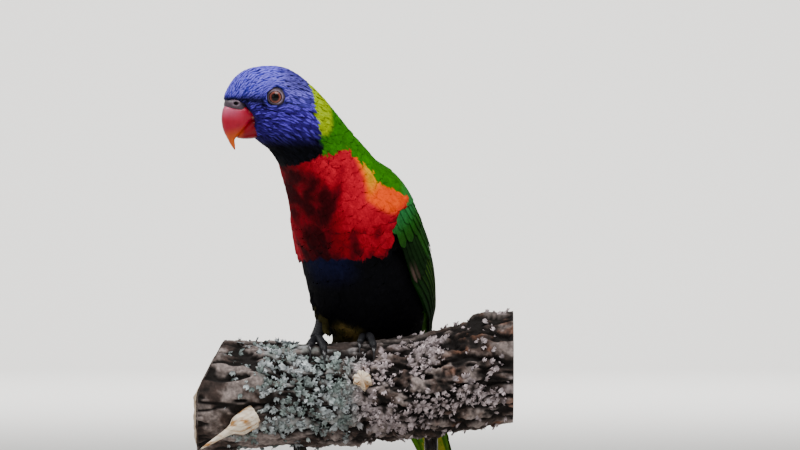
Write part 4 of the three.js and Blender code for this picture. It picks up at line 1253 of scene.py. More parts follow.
class LORIKEET_OT_wings(bpy.types.Operator):
    """Both folded wings: flight feathers and rows of coverts over a thin sheet"""

    bl_idname = "lorikeet.wings"
    bl_label = "Wings"

    def execute(self, context):
        rng = np.random.default_rng(settings("plumage").seed + 1)
        for side in ("left", "right"):
            surface = wing_surface(side)
            parts = [self.sheet(surface)] + [self.row(surface, name, rng) for name in WING_ROWS]
            vane_piece(f"{side}_wing_feathers", parts, feathers("green"), [f"wing_{side}"])
        return {"FINISHED"}

    def row(self, surface, name, rng):
        """One row of feathers as a part."""
        places, degrees, rise, half, length = wing_row(name, rng)
        points, faces, across, along = vanes(surface, places, degrees, rise, 0.25)
        colour = wing_colour(name, len(points), body_place(places, along), across, along, rng)
        u = np.clip((degrees[:, 0].mean(-1) + 30) / 150, 0.01, 0.99)
        v = np.clip(places[:, 0, 0] / 7, 0.01, 0.99) + 0.02 * list(WING_ROWS).index(name) / 8
        maps = feather_maps(across, along, half, length, u, np.clip(v, 0.01, 0.99))
        return vane_part(surface, (places, degrees), points, faces, 0.55, colour, maps)

    def sheet(self, surface):
        """The wing's own flesh from station 3 up: one closed sheet between its two edges."""
        place, lane = np.linspace(3.0, 6.6, 60)[:, None], np.linspace(0, 1, 14)[None]
        places = np.broadcast_to(place, (60, 14))[None]
        degrees, rise = wing_degrees(place, lane)[None], wing_rise(place, lane)[None]
        points, faces, across, along = vanes(surface, places, degrees, rise * 0.5 + 0.2, 0.8)
        # Painted shade: the sheet under the feathers is the wing's green at 0.35.
        colour = np.tile(settings("plumage").wing_green * 0.35, (points.shape[1], 1))
        uv = np.stack([across * 0.4 + 0.5, along * 0.9 + 0.05], -1)
        return vane_part(
            surface, (places, degrees), points, faces, 0.5, colour, {"OFBake": uv, "Vane": uv * 40}
        )


def body_place(places, along):
    """Station of every point of a row's vanes, from the stations of its grid's rows."""
    rows = places[:, :, 0]
    t = np.linspace(0, 1, rows.shape[1])
    return np.stack([np.interp(along, t, row) for row in rows])


# Tail

TAIL_CORE = np.array(
    [[1.1, 8.5, 1.2, 2.4], [1.5, 11.6, 2.6, 4], [1.8, 12.6, 4.8, 5.6], [2.0, 13.6, 6.8, 7.4],
        [2.35, 18, 9.4, 11.5]]
)


TAIL_FEATHER = 120.0  # mm, length of a long feather as its barbs count it


def tail_core(place, degrees, grow=0.0):
    """The tail's root: ellipses at the stations of a table, deeper below than above."""
    place, degrees, grow = np.broadcast_arrays(place, degrees, grow)
    row, _, left, up = directions(place)
    side, back, belly = (read(TAIL_CORE, place, k) for k in (1, 2, 3))
    s = np.sin(np.radians(degrees))
    high = (np.where(s > 0, back, belly) + grow) * s
    return (
        row[..., :3] + ((side + grow) * np.cos(np.radians(degrees)))[..., None] * left
        + high[..., None] * up
    )


def tail_sheet(place, across, rise=0.0):
    """The tail's flat: across it in millimetres, drooping at the sides by 0.012 times the square of that."""
    place, across, rise = np.broadcast_arrays(place, across, rise)
    row, _, left, up = directions(place)
    return row[..., :3] + across[..., None] * left + (rise - 0.012 * across**2)[..., None] * up


class LORIKEET_OT_tail(bpy.types.Operator):
    """Twelve tapering tail feathers and the short feathers that cover their roots above and below"""

    bl_idname = "lorikeet.tail"
    bl_label = "Tail"

    def execute(self, context):
        look = settings("plumage")
        rng = np.random.default_rng(look.seed + 2)
        parts = [self.long_feathers(look, rng), self.coverts(look, rng)]
        vane_piece("tail_feathers", parts, feathers("green"), ["tail"])
        return {"FINISHED"}

    def coverts(self, look, rng):
        """Short feathers round the tail's root, green above and olive below."""
        place, degrees = spread(tail_core, (1.22, 2.3), (-180, 180), 2.5, 30000, rng)
        length = rng.uniform(10, 13, len(place))
        half = np.full(len(place), 2.7)
        sheet = lay(
            tail_core, place, degrees, length, half, ROUNDED, self.cover_rise, rng, (9, 7), ragged=0.14
        )
        points, faces, across, along = vanes(tail_core, *sheet)
        main = mix(look.tail_under, look.tail_green, step(-20, 10, fold(degrees)))
        main = main * np.exp(rng.normal(0, 0.12, len(place)))[:, None]
        # Painted shade: each feather darker towards its root, where the others overlap it.
        colour = main[:, None] * (0.65 + 0.35 * step(0.15, 0.6, along))[..., None]
        u, v = (degrees / 360) % 1 * 0.5 + 0.01, (place - 1) / 1.6 * 0.6 + 0.02
        maps = feather_maps(across, along, half, length, u, v)
        return vane_part(tail_core, sheet, points, faces, 0.6, colour, maps)

    def cover_rise(self, place, t, places, sides):
        """Height of a covering feather over the core: sunk at the root, proud of it at the tip."""
        return -0.5 + 1.3 * (1 - (1 - t) ** 1.4) + 0 * place

    def long_feathers(self, look, rng):
        """Six pairs, the middle pair longest and on top. The outline across is the named width at each
        share, and the pair's middle line moves out from the tail's by 1.75 mm for each pair, less at root
        and tip."""
        count, along, across = 12, 26, 7
        pair = np.repeat(np.arange(6), 2)
        side = np.tile([1, -1], 6)
        t = np.linspace(0, 1, along) ** 0.95
        tip = 0.95 * (pair / 5) ** 1.2
        place = 1.98 + (tip[:, None] - 1.98) * t
        gather = (0.75 + 0.25 * np.minimum(1, 2 * t)) * (1 - 0.28 * t)
        middle = (side * (2.1 + 1.75 * pair))[:, None] * gather
        half = np.full(count, 4.8)
        wide = np.interp(t, *LONG_SHARP) * half[:, None]
        s = np.linspace(-1, 1, across)
        over = middle[..., None] + wide[..., None] * s
        lift = 1.25 - 0.5 * pair - np.where(side > 0, 0, 0.18)
        rise = lift[:, None, None] + 0.14 * np.exp(-(s**2) / 0.02) + 0 * over
        places = np.broadcast_to(place[..., None], over.shape)
        points, faces, across, along = vanes(tail_sheet, places, over, rise, 0.5)
        inner = np.broadcast_to(np.abs(across), (count, len(across)))
        main = mix(
            np.tile(look.tail_green, (count, len(across), 1)), look.wing_edge, 0.5 * step(0.7, 1, inner)
        )
        main = mix(main, look.tail_under, 0.35 * step(0.55, 1.0, along)[None] * np.ones((count, 1)))
        main = mix(main, look.wing_dark, 0.55 * np.exp(-((inner / 0.06) ** 2)))
        main = main * np.exp(rng.normal(0, 0.06, count))[:, None, None]
        u = (0.55 + 0.035 * np.arange(count))[:, None]
        bake = np.stack([u + across * 0.014, 0.05 + 0.9 * along + 0 * u], -1).reshape(-1, 2)
        maps = {"OFBake": bake, "Vane": vane_map(across, along, half, np.full(count, TAIL_FEATHER))}
        return vane_part(tail_sheet, (places, over), points, faces, 0.3, main, maps)


# Bill and cere, in the head's own frame: ahead and up of the top line, then of the lower line, and half the
# width.

UPPER_BILL = np.array(
    [
        [14.5, -3.3, 6.2, -11.9, 6.8],
        [17.6, -4.2, 7.7, -12.3, 7.1],
        [21.4, -5.3, 9.4, -13.1, 7],
        [22.6, -9.6, 10.9, -14.9, 6.4],
        [22.5, -13.6, 12.7, -17, 5.1],
        [21.6, -17.3, 15, -19.4, 3.5],
        [20.0, -20.5, 16.4, -21.3, 2.2],
        [18.4, -23.5, 16.2, -23.6, 1.3],
        [16.5, -26.2, 16.0, -26.0, 0.3],
    ]
)
LOWER_BILL = np.array(
    [
        [6, -9.4, 5.6, -20, 6.3],
        [7.4, -10, 6.6, -20.6, 6.7],
        [9.6, -11.4, 9.2, -20.9, 6.5],
        [12.8, -14.8, 12.2, -20.9, 5],
        [15, -18.2, 14.8, -20.5, 2.8],
    ]
)
CERE = np.array(
    [
        [17.5, -1.2, 9, -2.2, 4.6],
        [19.8, -1.5, 10, -2.6, 5.8],
        [21, -2.6, 10.4, -4.3, 6.9],
        [21.4, -4.3, 10.2, -6.4, 7.1],
        [21.2, -5.6, 10.2, -7.6, 6.9],
    ]
)


def bill_rings(outline, along, around, above=0.85, below=0.85):
    """Sections of the bill: between a top and a lower line, read as Catmull-Rom curves, each a rounded form
    whose side reach is half the width times cos to a power, lower where the flank is flatter, and whose
    height runs with sin. Towards the tip the power becomes 0.85 throughout."""
    place = np.linspace(0, len(outline) - 1, along)
    row = through(outline, place)
    angle = turns(around)
    middle, reach = (row[:, :2] + row[:, 2:4]) / 2, (row[:, :2] - row[:, 2:4]) / 2
    flat = np.where(np.sin(angle) > 0, above, below)[None]
    flat = flat + (0.85 - flat) * step(0.45, 0.9, place / place[-1])[:, None]
    c = power(np.cos(angle), flat)
    ahead = middle[:, :1] + reach[:, :1] * np.sin(angle)
    up = middle[:, 1:] + reach[:, 1:] * np.sin(angle)
    return np.stack([ahead, np.maximum(row[:, 4:], 0.1) * c, up], -1)


def bill_part(rings, name, material, colour, replaces):
    """Writes one part of the bill from its rings in the head's frame, coloured by a function of the
    points."""
    points, faces = tube(rings)
    piece(name, to_world(from_head(points)), faces, material, colour=colour(points), replaces=replaces)


NOSTRIL = np.array([17.3, -3.9])  # ahead and up of the nostril's middle, in the head's frame


def nostril_distance(points):
    """Distance from the nostril's middle, with its height counted 1.3 times so that the hole is a flat
    oval."""
    return np.hypot(points[..., 0] - NOSTRIL[0], 1.3 * (points[..., 2] - NOSTRIL[1]))


class LORIKEET_OT_bill(bpy.types.Operator):
    """Hooked upper bill, lower bill, and the cere with its nostrils"""

    bl_idname = "lorikeet.bill"
    bl_label = "Bill"

    def execute(self, context):
        look = settings("bill")
        # Living horn of a bill: smooth, waxy, slightly see-through, with faint growth lines, and paler on top
        # as a painted highlight.
        horn = marked_surface(
            "bill_horn", 0.3, 2.2, 0.05, 0.1, specular=0.15, coat=0.08, subsurface=0.12, stretch=(1, 1, 0.35)
        )

        def upper(points):
            ahead, aside, up = points.T
            ahead = ahead - 0.25 * (up + 13)
            tip = 0.95 * step(-14.5, -22, up + 0.25 * (points[:, 0] - 18))
            # Painted highlight: paler pink over the top of the upper bill.
            pale = step(-13, -6, up) * step(10, 19, ahead)
            spots = layered(points, 3.0, 3, 5)
            colour = mix(mix(look.bill_red, look.bill_top_highlight, 0.9 * pale), look.bill_tip, tip)
            colour = mix(colour, look.bill_tip * 0.5, step(-24.3, -26, up))
            flakes = (
                step(0.5, 0.62, layered(points, 1.2, 2, 6)) * step(11.2, 9.6, points[:, 0])
                * step(-12.6, -9.5, up)
            )
            colour = mix(colour, look.gape, 0.8 * flakes * (np.abs(aside) > 3))
            return colour * (0.88 + 0.24 * spots)[:, None]

        def lower(points):
            # Painted shade: the lower bill's root, under the upper bill and the feathers, darkened towards
            # 0.35.
            dark = 0.6 * step(8.5, 6.5, points[:, 0])
            colour = mix(look.lower_red, look.bill_tip, 0.35 * step(12, 14.5, points[:, 0]))
            return mix(colour, look.lower_red * 0.35, dark)

        rings = bill_rings(UPPER_BILL, 60, 56, below=0.5)
        ridge = 1 + 0.008 * np.sin(rings[..., 2] * 5) * step(-22, -12, rings[..., 2])
        rings[..., 1] *= ridge
        bill_part(rings, "bill_upper_horn", horn, upper, ["upper_bill"])
        bill_part(
            bill_rings(LOWER_BILL, 30, 48, above=0.5), "bill_lower_horn", horn, lower,
            ["lower_bill"]
        )

        rings = bill_rings(CERE, 36, 72)
        folds = 0.1 * np.sin(rings[..., 0] * 4 + rings[..., 1])
        for side in (1, -1):
            away = nostril_distance(rings)
            pit = 1.6 * np.exp(-((away / 0.95) ** 4)) * (side * rings[..., 1] > 2)
            rim = 0.55 * np.exp(-(((away - 1.6) / 0.6) ** 2)) * (side * rings[..., 1] > 2)
            rings[..., 1] += side * (rim - pit)
        rings[..., 2] += folds * 0.3
        grey = look.cere_grey

        def bare(points):
            away = nostril_distance(points)
            pit = np.exp(-((away / 1.0) ** 4)) * (np.abs(points[:, 1]) > 2)
            rim = np.exp(-(((away - 1.7) / 0.5) ** 2)) * (np.abs(points[:, 1]) > 2)
            skin = grey * (0.65 + 0.6 * layered(points, 1.6, 3, 8))[:, None]
            skin = mix(skin, grey * 2.4, 0.7 * rim)
            # Painted shade: darker along the cere's lower edge, where it meets the bill, and near black in
            # the nostrils' holes.
            skin = mix(skin, grey * 0.4, step(-6.0, -7.4, points[:, 2]) * 0.8)
            return mix(skin, grey * 0.06, pit)

        # Bare waxy skin: soft, finely folded, with a dull shine.
        wax = marked_surface("cere_skin", 0.42, 0.9, 0.08, 0.14, specular=0.45)
        bill_part(rings, "bill_cere_skin", wax, bare, ["cere"])
        return {"FINISHED"}


# Eyes

IRIS = 3.05  # mm, radius of what shows between the lids
PUPIL = 1.8


def eye_frame(side):
    """The eye's centre in the head's frame, its axis out through the pupil, and two directions across it."""
    turn = np.radians(EYE_AHEAD)
    axis = np.array([np.sin(turn), side * np.cos(turn), 0])
    centre = np.array(EYE_PLACE) * [1, side, 1]
    return centre, axis, np.array([np.cos(turn), -side * np.sin(turn), 0])


def turned_profile(side, radius, out, around):
    """A profile of radius and height carried round the eye's axis, in the head's frame."""
    centre, axis, across = eye_frame(side)
    angle = turns(around)
    ring = np.cos(angle)[:, None] * across + np.sin(angle)[:, None] * np.array([0, 0, 1.0])
    return centre + out[..., None] * axis + ring[None] * radius[..., None]


class LORIKEET_OT_eyes(bpy.types.Operator):
    """Eyeballs with iris and pupil, and the bare ring and lids round each"""

    bl_idname = "lorikeet.eyes"
    bl_label = "Eyes"

    def execute(self, context):
        look = settings("bill")
        iris, ring_skin = look.iris, look.eye_ring
        # Wet cornea over a dark pupil: the gloss is all in the clear coat.
        wet = marked_surface("wet_eye", 0.2, 1.0, 0.0, 0.12, specular=0.05, coat=0.4)
        # Bare skin of the eye ring: matt, finely beaded.
        bare = marked_surface("eye_ring_skin", 0.55, 0.5, 0.06, 0.15, specular=0.35)
        for name, side in (("left", 1), ("right", -1)):
            lean = np.linspace(0.02, np.pi - 0.02, 60)
            radius = np.broadcast_to((EYE_RADIUS * np.sin(lean))[:, None], (60, 64))
            out = np.broadcast_to((EYE_RADIUS * np.cos(lean))[:, None], (60, 64))
            points, faces = tube(turned_profile(side, radius, out, 64))
            centre, axis, _ = eye_frame(side)
            away = points - centre
            r = np.linalg.norm(away - (away @ axis)[:, None] * axis, axis=-1)
            fibre = np.stack([np.arctan2(away[:, 2], away[:, 0]) * 6, r * 0.4, 0 * r], -1)
            rays = 0.8 + 0.4 * noise(fibre, 1.0, 3)
            colour = iris * rays[:, None]
            colour = mix(colour * 0.7, look.iris_rim * rays[:, None], 0.8 * step(2.05, 2.45, r))
            colour = mix(colour, iris * 0.15, step(IRIS - 0.45, IRIS - 0.2, r))
            colour = mix(colour, np.full(3, 0.0015), step(PUPIL + 0.06, PUPIL - 0.06, r))
            colour = np.where(((away @ axis) < 0)[:, None], iris * 0.2, colour)
            world = to_world(from_head(points))
            piece(f"eyeball_{name}", world, faces, wet, colour=colour, replaces=[f"eye_{name}"])

            profile = np.array(
                [[2.85, 2.95], [2.95, 3.3], [3.12, 3.5], [3.4, 3.52], [3.75, 3.3], [4.1, 2.85], [4.6, 2.1],
                    [5.0, 1.2]]
            )
            under = np.array([[4.6, 1.0], [3.2, 1.6], [2.7, 2.4]])
            around = 96
            loop = through(
                np.vstack([profile, under, profile[:1]]), np.linspace(0, len(profile) + len(under), 64)[:-1]
            )
            angle = turns(around)
            beads = np.sin(26 * angle)[None] * np.sin(9 * loop[:, :1] + 1.5 * np.sin(13 * angle)[None])
            bead = 0.12 * beads * step(3.0, 3.3, loop[:, :1]) * step(4.8, 4.0, loop[:, :1])
            almond = 1 + 0.04 * np.cos(2 * angle)[None]
            points = turned_profile(side, loop[:, :1] * almond, loop[:, 1:] + bead, around).reshape(-1, 3)
            near = np.repeat(loop[:, 0], around)
            colour = mix(ring_skin, ring_skin * 0.12, step(3.12, 2.98, near))
            colour = mix(colour, ring_skin * 1.7, 0.6 * step(3.1, 3.3, near) * step(3.7, 3.4, near))
            colour = mix(colour, ring_skin * 0.3, step(3.6, 4.2, near))
            # Painted shade: the front of the ring, towards the bill, darkened.
            front = step(0.5, 3.2, points[:, 0] - EYE_PLACE[0] - 0.6 * (points[:, 2] - EYE_PLACE[2]))
            colour = mix(colour, ring_skin * 0.2, 0.85 * front)
            colour = colour * (0.55 + 0.9 * noise(points, 0.9, 4))[:, None]
            world = to_world(from_head(points))
            piece(
                f"eye_ring_{name}", world, outward(points, [grid_faces(len(loop), around, True, True)]),
                bare, colour=colour
            )
        return {"FINISHED"}


# The branch. Its line and outline, in the row's frame.

PERCH_RADIUS = 25
PERCH_LEFT, PERCH_RIGHT = -73, 82
PERCH_END_SLANT = 14
PERCH_SLOPE, PERCH_BEND = 0.03, 0.0012
KNOTS = np.array([[-40, 60, 3.2, 14], [-58, -20, 3, 12], [34, 110, 2.4, 15], [66, 20, 3.4, 16]])


def perch_line(x):
    """The branch's line: it climbs by 0.03 for each millimetre and bends up past x = -10 with the square."""
    z = PERCH_TOP - PERCH_RADIUS + PERCH_SLOPE * x + PERCH_BEND * np.maximum(0, x + 10) ** 2
    return np.stack([x, 0 * x, z], -1)


def bark_point(x, degrees, rise=0.0):
    """Bark at a place along the branch and degrees round it, 0 at the top and 90 towards -Y: a circle with
    low waves and four rounded knots, even where the feet grip."""
    x, degrees, rise = np.broadcast_arrays(x, degrees, rise)
    a = np.radians(degrees)
    radius = (
        0.55 * np.sin(5 * a + x * 0.11) + 0.4 * np.sin(9 * a - x * 0.19 + 1)
        + 0.35 * np.sin(x * 0.31 + 2 * a)
    )
    for knot_x, knot_degrees, high, wide in KNOTS:
        round_it = np.radians((degrees - knot_degrees + 540) % 360 - 180) * PERCH_RADIUS
        radius = radius + high * np.exp(-((x - knot_x) ** 2 + round_it**2) / wide**2)
    turned = np.radians((degrees + 180) % 360 - 180)
    flat = np.exp(-((x / 26) ** 2)) * np.exp(-((turned / 1.1) ** 2))
    radius = PERCH_RADIUS + radius * (1 - flat) + 1.6 * np.minimum(1, (x / 70) ** 2) + rise
    return perch_line(x) + np.stack([0 * x, -np.sin(a) * radius, np.cos(a) * radius], -1)


def bark_relief(points, x, degrees):
    """Relief of the bark in millimetres: furrows drawn out along the branch, plates between them, and
    crumbs, which are knobbly and high on the middle third and low towards the left end."""
    drawn = points * np.array([0.3, 1, 1])
    furrow = 1 - np.abs(2 * layered(drawn, 6.0, 3, 11) - 1)
    plate = layered(points, 9.0, 3, 12)
    crumb = layered(points, 2.4, 3, 13)
    turned = (degrees + 180) % 360 - 180
    knobbly = np.exp(-(((x - 25) / 38) ** 4)) * step(15, 40, np.abs(turned))
    grip = np.exp(-((x / 24) ** 2)) * np.exp(-((turned / 50) ** 2))
    calm = 1 - 0.5 * step(-40, -60, x)
    relief = 3.0 * (plate - 0.5) - 2.8 * step(0.78, 0.98, furrow) + (1.6 + 3.4 * knobbly) * (crumb - 0.5)
    return relief * calm * (1 - 0.75 * grip) - 0.15


LICHEN_SEED = 5  # the number that the random lie of its lobes starts from


def lichen_cover(points):
    """How much lichen grows at a point, from 0 to 1: a dense patch on the front left of the middle,
    scattered crusts to its right, a small patch on top left of the feet and one low on the right end, and
    little elsewhere."""
    x = points[..., 0]
    away = points - perch_line(x)
    side = np.degrees(np.arctan2(-away[..., 1], away[..., 2]))
    front = step(12, 38, np.abs(side)) * step(150, 115, np.abs(side))
    on_top = np.exp(-(((x + 22) / 9) ** 2)) * step(50, 20, np.abs(side))
    left = np.exp(-(((x + 19) / 24) ** 4)) * (0.1 + 0.9 * front)
    right = np.exp(-(((x - 25) / 27) ** 4)) * (0.12 + 0.88 * front)
    low_end = np.exp(-(((x - 72) / 12) ** 2)) * np.exp(-(((side - 112) / 14) ** 2))
    wanted = np.clip(0.85 * left + 0.6 * right * (1 - left) + 0.7 * on_top + 0.6 * low_end, 0, 1)
    limit = np.interp(wanted, [0, 0.5, 1], [0.78, 0.5, 0.3])
    return step(limit - 0.07, limit + 0.07, layered(points, 9.0, 3, 21))


def lichen_tone(look, points):
    """The lichen's colour: grey green with pale patches on the left, pinkish grey to the right of the
    middle."""
    tone = mix(look.lichen_green, look.lichen_pale, step(0.4, 0.62, layered(points, 4.0, 3, 22)))
    pink = step(-4, 14, points[..., 0] + 14 * (layered(points, 12.0, 2, 24) - 0.5))
    return mix(tone, look.lichen_pink, 0.85 * pink)


class LORIKEET_OT_perch(bpy.types.Operator):
    """The cut length of branch, with its bark, its sawn end and its broken end"""

    bl_idname = "lorikeet.perch"
    bl_label = "Branch"

    def execute(self, context):
        look = settings("perch")
        around, steps, cap = 300, 270, 60
        degrees = np.arange(around) * 360 / around
        turned = (degrees + 180) % 360 - 180
        x = np.linspace(PERCH_LEFT + 1, PERCH_RIGHT - 0.4, steps)[:, None]
        leftness = np.maximum(0, 1 - (x - PERCH_LEFT) / (2 * PERCH_END_SLANT))
        slanted = x + PERCH_END_SLANT * leftness * np.maximum(0, np.cos(np.radians(turned))) ** 1.5
        base = bark_point(slanted, turned[None])
        relief = bark_relief(base, slanted, turned[None] + 0 * slanted)
        rim = step(0, 3, PERCH_RIGHT - x) * step(0, 4, x - PERCH_LEFT)
        bark = bark_point(slanted, turned[None], np.minimum(relief * rim, 2.2))
        share = np.linspace(1, 0.01, cap)[:, None, None]
        right_line = perch_line(np.full((1, around), PERCH_RIGHT * 1.0))
        right = right_line + (bark_point(PERCH_RIGHT * 1.0, turned[None]) - right_line) * share
        left_x = slanted[:1]
        left_line = perch_line(left_x)
        broken = left_line + (bark_point(left_x, turned[None]) - left_line) * share[::-1]
        splinter = layered(broken * np.array([0.3, 1, 1]), 5.0, 3, 31) - 0.5
        broken[..., 0] += -1.6 + 3.5 * splinter * (1 - share[::-1, :, 0] ** 6) + 2.5 * share[::-1, :, 0] ** 4
        rings = np.concatenate([broken, bark, right])
        points, faces = tube(rings)

        grown = layered(points, 9.0, 3, 12)
        fine = layered(points, 2.0, 3, 14)
        colour = mix(look.bark_brown, look.bark_grey, step(0.42, 0.62, grown + 0.2 * (fine - 0.5)))
        grit = layered(points, 1.3, 2, 15)
        rust = step(0.52, 0.66, layered(points, 7.0, 2, 16)) * step(30, 60, points[:, 0])
        colour = mix(colour, look.bark_rust, 0.6 * rust)
        colour = colour * ((0.35 + 0.9 * fine) * (0.4 + 1.3 * grit))[:, None]
        flat_relief = np.concatenate([np.zeros(cap * around), relief.ravel(), np.zeros(cap * around + 2)])
        height = np.abs(np.degrees(np.arctan2(points[:, 1], (points - perch_line(points[:, 0]))[:, 2])))
        worn = np.exp(-((height / 34) ** 4)) * step(-30, -5, points[:, 0])
        colour = mix(colour, look.bark_dark * 2.2, 0.6 * worn)
        # Darker in the furrows: partly the bark's own dark cracks and partly painted shade.
        colour = mix(colour, look.bark_dark, step(0.3, -1.2, flat_relief))
        peaks = step(0.5, 1.6, flat_relief) * (1 - 0.6 * worn)
        colour = mix(colour, look.bark_grey * (0.6 + 1.4 * grit)[:, None], 0.6 * peaks)
        crust = lichen_cover(points) * step(-0.8, 0.5, flat_relief)
        crusty = lichen_tone(look, points) * (0.45 + 0.5 * fine)[:, None]
        colour = mix(colour, crusty, 0.7 * crust)
        r = np.linalg.norm((points - perch_line(points[:, 0]))[:, 1:], axis=-1)
        rings_of_growth = (
            0.5 + 0.5 * np.sin(r * 2 * np.pi / 3.1 + 1.6 * noise(points * np.array([0, 1, 1]), 22.0, 33))
        )
        wood = mix(look.wood_tan, look.wood_pale, 0.45 + 0.4 * rings_of_growth)
        wood = mix(wood, look.wood_tan * 0.45, step(PERCH_RADIUS - 2.2, PERCH_RADIUS - 1.6, r))
        index = np.arange(len(points))
        ends = (index < cap * around) | (index >= (cap + steps) * around)
        # Painted shade: the wood of both end faces taken at 0.6.
        colour = np.where((ends & (r < PERCH_RADIUS - 1.2))[:, None], wood * 0.6, colour)
        # Bark: dead cork and weathered fibre, quite matt, with grit down to half a millimetre.
        material = marked_surface("branch_bark", 0.9, 1.1, 0.35, 0.28, specular=0.2)
        piece("branch_bark_surface", points, faces, material, colour=colour, replaces=["perch"])
        return {"FINISHED"}


class LORIKEET_OT_lichen(bpy.types.Operator):
    """Leafy lichen: small curled lobes over the patches where it grows on the bark"""

    bl_idname = "lorikeet.lichen"
    bl_label = "Lichen"

    def execute(self, context):
        look = settings("perch")
        rng = np.random.default_rng(LICHEN_SEED)

        def keep(x, degrees):
            points = bark_point(x, degrees)
            grip = (np.abs(x) < 26) & (np.abs(degrees) < 42)
            chance = lichen_cover(points) * 0.97 + 0.012
            return (rng.uniform(0, 1, len(x)) < chance) & ~grip

        gap = look.lobe_gap / MM
        x, degrees = spread(
            bark_point, (PERCH_LEFT + 16, PERCH_RIGHT - 4), (-180, 180), gap, 60000, rng, keep
        )
        count = len(x)
        size = rng.uniform(0.8, 2.2, count) * np.interp(x, [-10, 20], [1.15, 0.95])
        along, across = 6, 7
        t, s = np.linspace(0, 1, along), np.linspace(-1, 1, across)
        turn = rng.uniform(0, 2 * np.pi, count)[:, None, None]
        wavy = 1 + 0.22 * np.sin(5 * s + rng.uniform(0, 6, count)[:, None, None])
        back = size[:, None, None] * 1.5 * t[None, :, None] * wavy
        wide = np.interp(t, [0, 0.4, 0.8, 1], [0.25, 0.8, 1, 0.75])[None, :, None]
        aside = size[:, None, None] * 0.8 * wide * s
        by_x, by_degrees = speeds(bark_point, x, degrees)
        places = x[:, None, None] + (back * np.cos(turn) - aside * np.sin(turn)) / by_x[:, None, None]
        sides = (
            degrees[:, None, None]
            + (back * np.sin(turn) + aside * np.cos(turn)) / by_degrees[:, None, None]
        )
        ruffle = 0.35 * np.sin(4 * s + 3 * t[:, None] + rng.uniform(0, 6, count)[:, None, None])
        curl = 2.0 * t[None, :, None] ** 1.5 * rng.uniform(0.3, 1.0, count)[:, None, None]
        root = bark_relief(bark_point(x, degrees), x, degrees)[:, None, None]
        rise = (
            np.minimum(root, 2.0) - 0.35 + curl + ruffle * t[None, :, None]
            + 0.5 * (np.abs(s) ** 3) * t[None, :, None]
        )
        places = np.clip(places, PERCH_LEFT + 4, PERCH_RIGHT - 1)
        points, faces, over, out = vanes(bark_point, places, sides, rise, 0.4)
        main = lichen_tone(look, points[:, 0]) * np.exp(rng.normal(-0.1, 0.25, count))[:, None]
        # Painted shade: each lobe darker towards its root.
        colour = main[:, None] * (0.35 + 0.65 * step(0.1, 0.9, out))[:, None]
        patch = ((x - PERCH_LEFT) / 160 * 0.98 + 0.01, (degrees / 360 + 0.5) % 1 * 0.98 + 0.01)
        bake = root_patch(patch[0], patch[1], over, out)
        # Lichen: a dry, chalky crust with a fine powdery grain.
        material = marked_surface("lichen_crust", 0.95, 0.7, 0.15, 0.18, specular=0.1)
        piece(
            "branch_lichen", points.reshape(-1, 3), [faces], material,
            colour=np.clip(colour.reshape(-1, 3), 0, 1), maps={"OFBake": bake},
        )
        return {"FINISHED"}


CUT_STUB = {"x": 8.6, "degrees": 76, "radius": 4.4, "out": 3.5}
SPIKE = {"x": -44, "degrees": 112, "radius": 5, "out": 24}


def splintered(line, radius, flutes, seed, around=72):
    """A round stub of wood torn along its grain: the circle's radius is varied by flutes round it that hold
    their place along the line, and the last rings are pulled in and out along the grain by noise."""
    rings = round_tube(line, radius, around)
    ahead, _, _ = tube_frame(line)
    angle = turns(around)
    key = np.stack([np.cos(angle) * 3, np.sin(angle) * 3, 0 * angle], -1)
    flute = 1 + flutes * (layered(key, 1.1, 3, seed) - 0.5)
    rings = line[:, None] + (rings - line[:, None]) * flute[None, :, None]
    fibre = (layered(key, 0.8, 3, seed + 1) - 0.4) * 7
    late = np.linspace(0, 1, len(line)) ** 6
    return rings + (ahead[:, None] * fibre[None, :, None]) * late[:, None, None]


class LORIKEET_OT_stubs(bpy.types.Operator):
    """Stubs of two broken side twigs, pale torn wood"""

    bl_idname = "lorikeet.stubs"
    bl_label = "Twig stubs"

    def execute(self, context):
        look = settings("perch")
        pale, tan = look.wood_pale, look.wood_tan
        # Bare sapwood, torn along the grain: pale, dry, silky along its fibres.
        material = marked_surface("torn_sapwood", 0.75, 1.0, 0.15, 0.22, specular=0.25, stretch=(0.35, 1, 1))

        def stub(name, line, radius, flutes, seed, node_name):
            rings = splintered(line, radius, flutes, seed)
            points, faces = tube(rings)
            grain = layered(points * np.array([0.25, 1, 1]), 1.6, 3, seed + 5)
            colour = mix(tan, pale, step(0.3, 0.62, grain))
            # Painted shade: darker where the stub goes into the bark.
            sunk = np.linalg.norm(points - line[0], axis=-1)
            colour = mix(colour, tan * 0.5, step(5.0, 3.2, sunk) * 0.6)
            piece(name, points, faces, material, colour=colour, replaces=[node_name])

        x, degrees, out = CUT_STUB["x"], CUT_STUB["degrees"], CUT_STUB["out"]
        rise = np.linspace(-3, out - 0.4, 24)
        line = np.stack([bark_point(x, degrees, r) for r in rise])
        radius = CUT_STUB["radius"] * np.linspace(1.12, 0.92, 24)[:, None]
        stub("twig_cut_stub", line, radius, 0.7, 41, "perch_cut_stub")

        x, degrees, out = SPIKE["x"], SPIKE["degrees"], SPIKE["out"]
        root = bark_point(x, degrees, -3.0)
        point = bark_point(x, degrees, 3.0) + np.array([-out, -3, -out * 0.55])
        share = np.linspace(0, 1, 60)[:, None]
        line = root + (point - root) * share
        outline = np.array([[1.1], [1.12], [1.05], [0.95], [0.5], [0.34], [0.28], [0.22], [0.15], [0.06]])
        radius = SPIKE["radius"] * through(outline, share[:, 0] * (len(outline) - 1))
        stub("twig_spike", line, radius, 0.7, 43, "perch_spike")
        return {"FINISHED"}


# Feet. Each stands on the branch, at x and y of the row's frame.

FEET = {"left": (10, 5), "right": (-14, 3.5)}
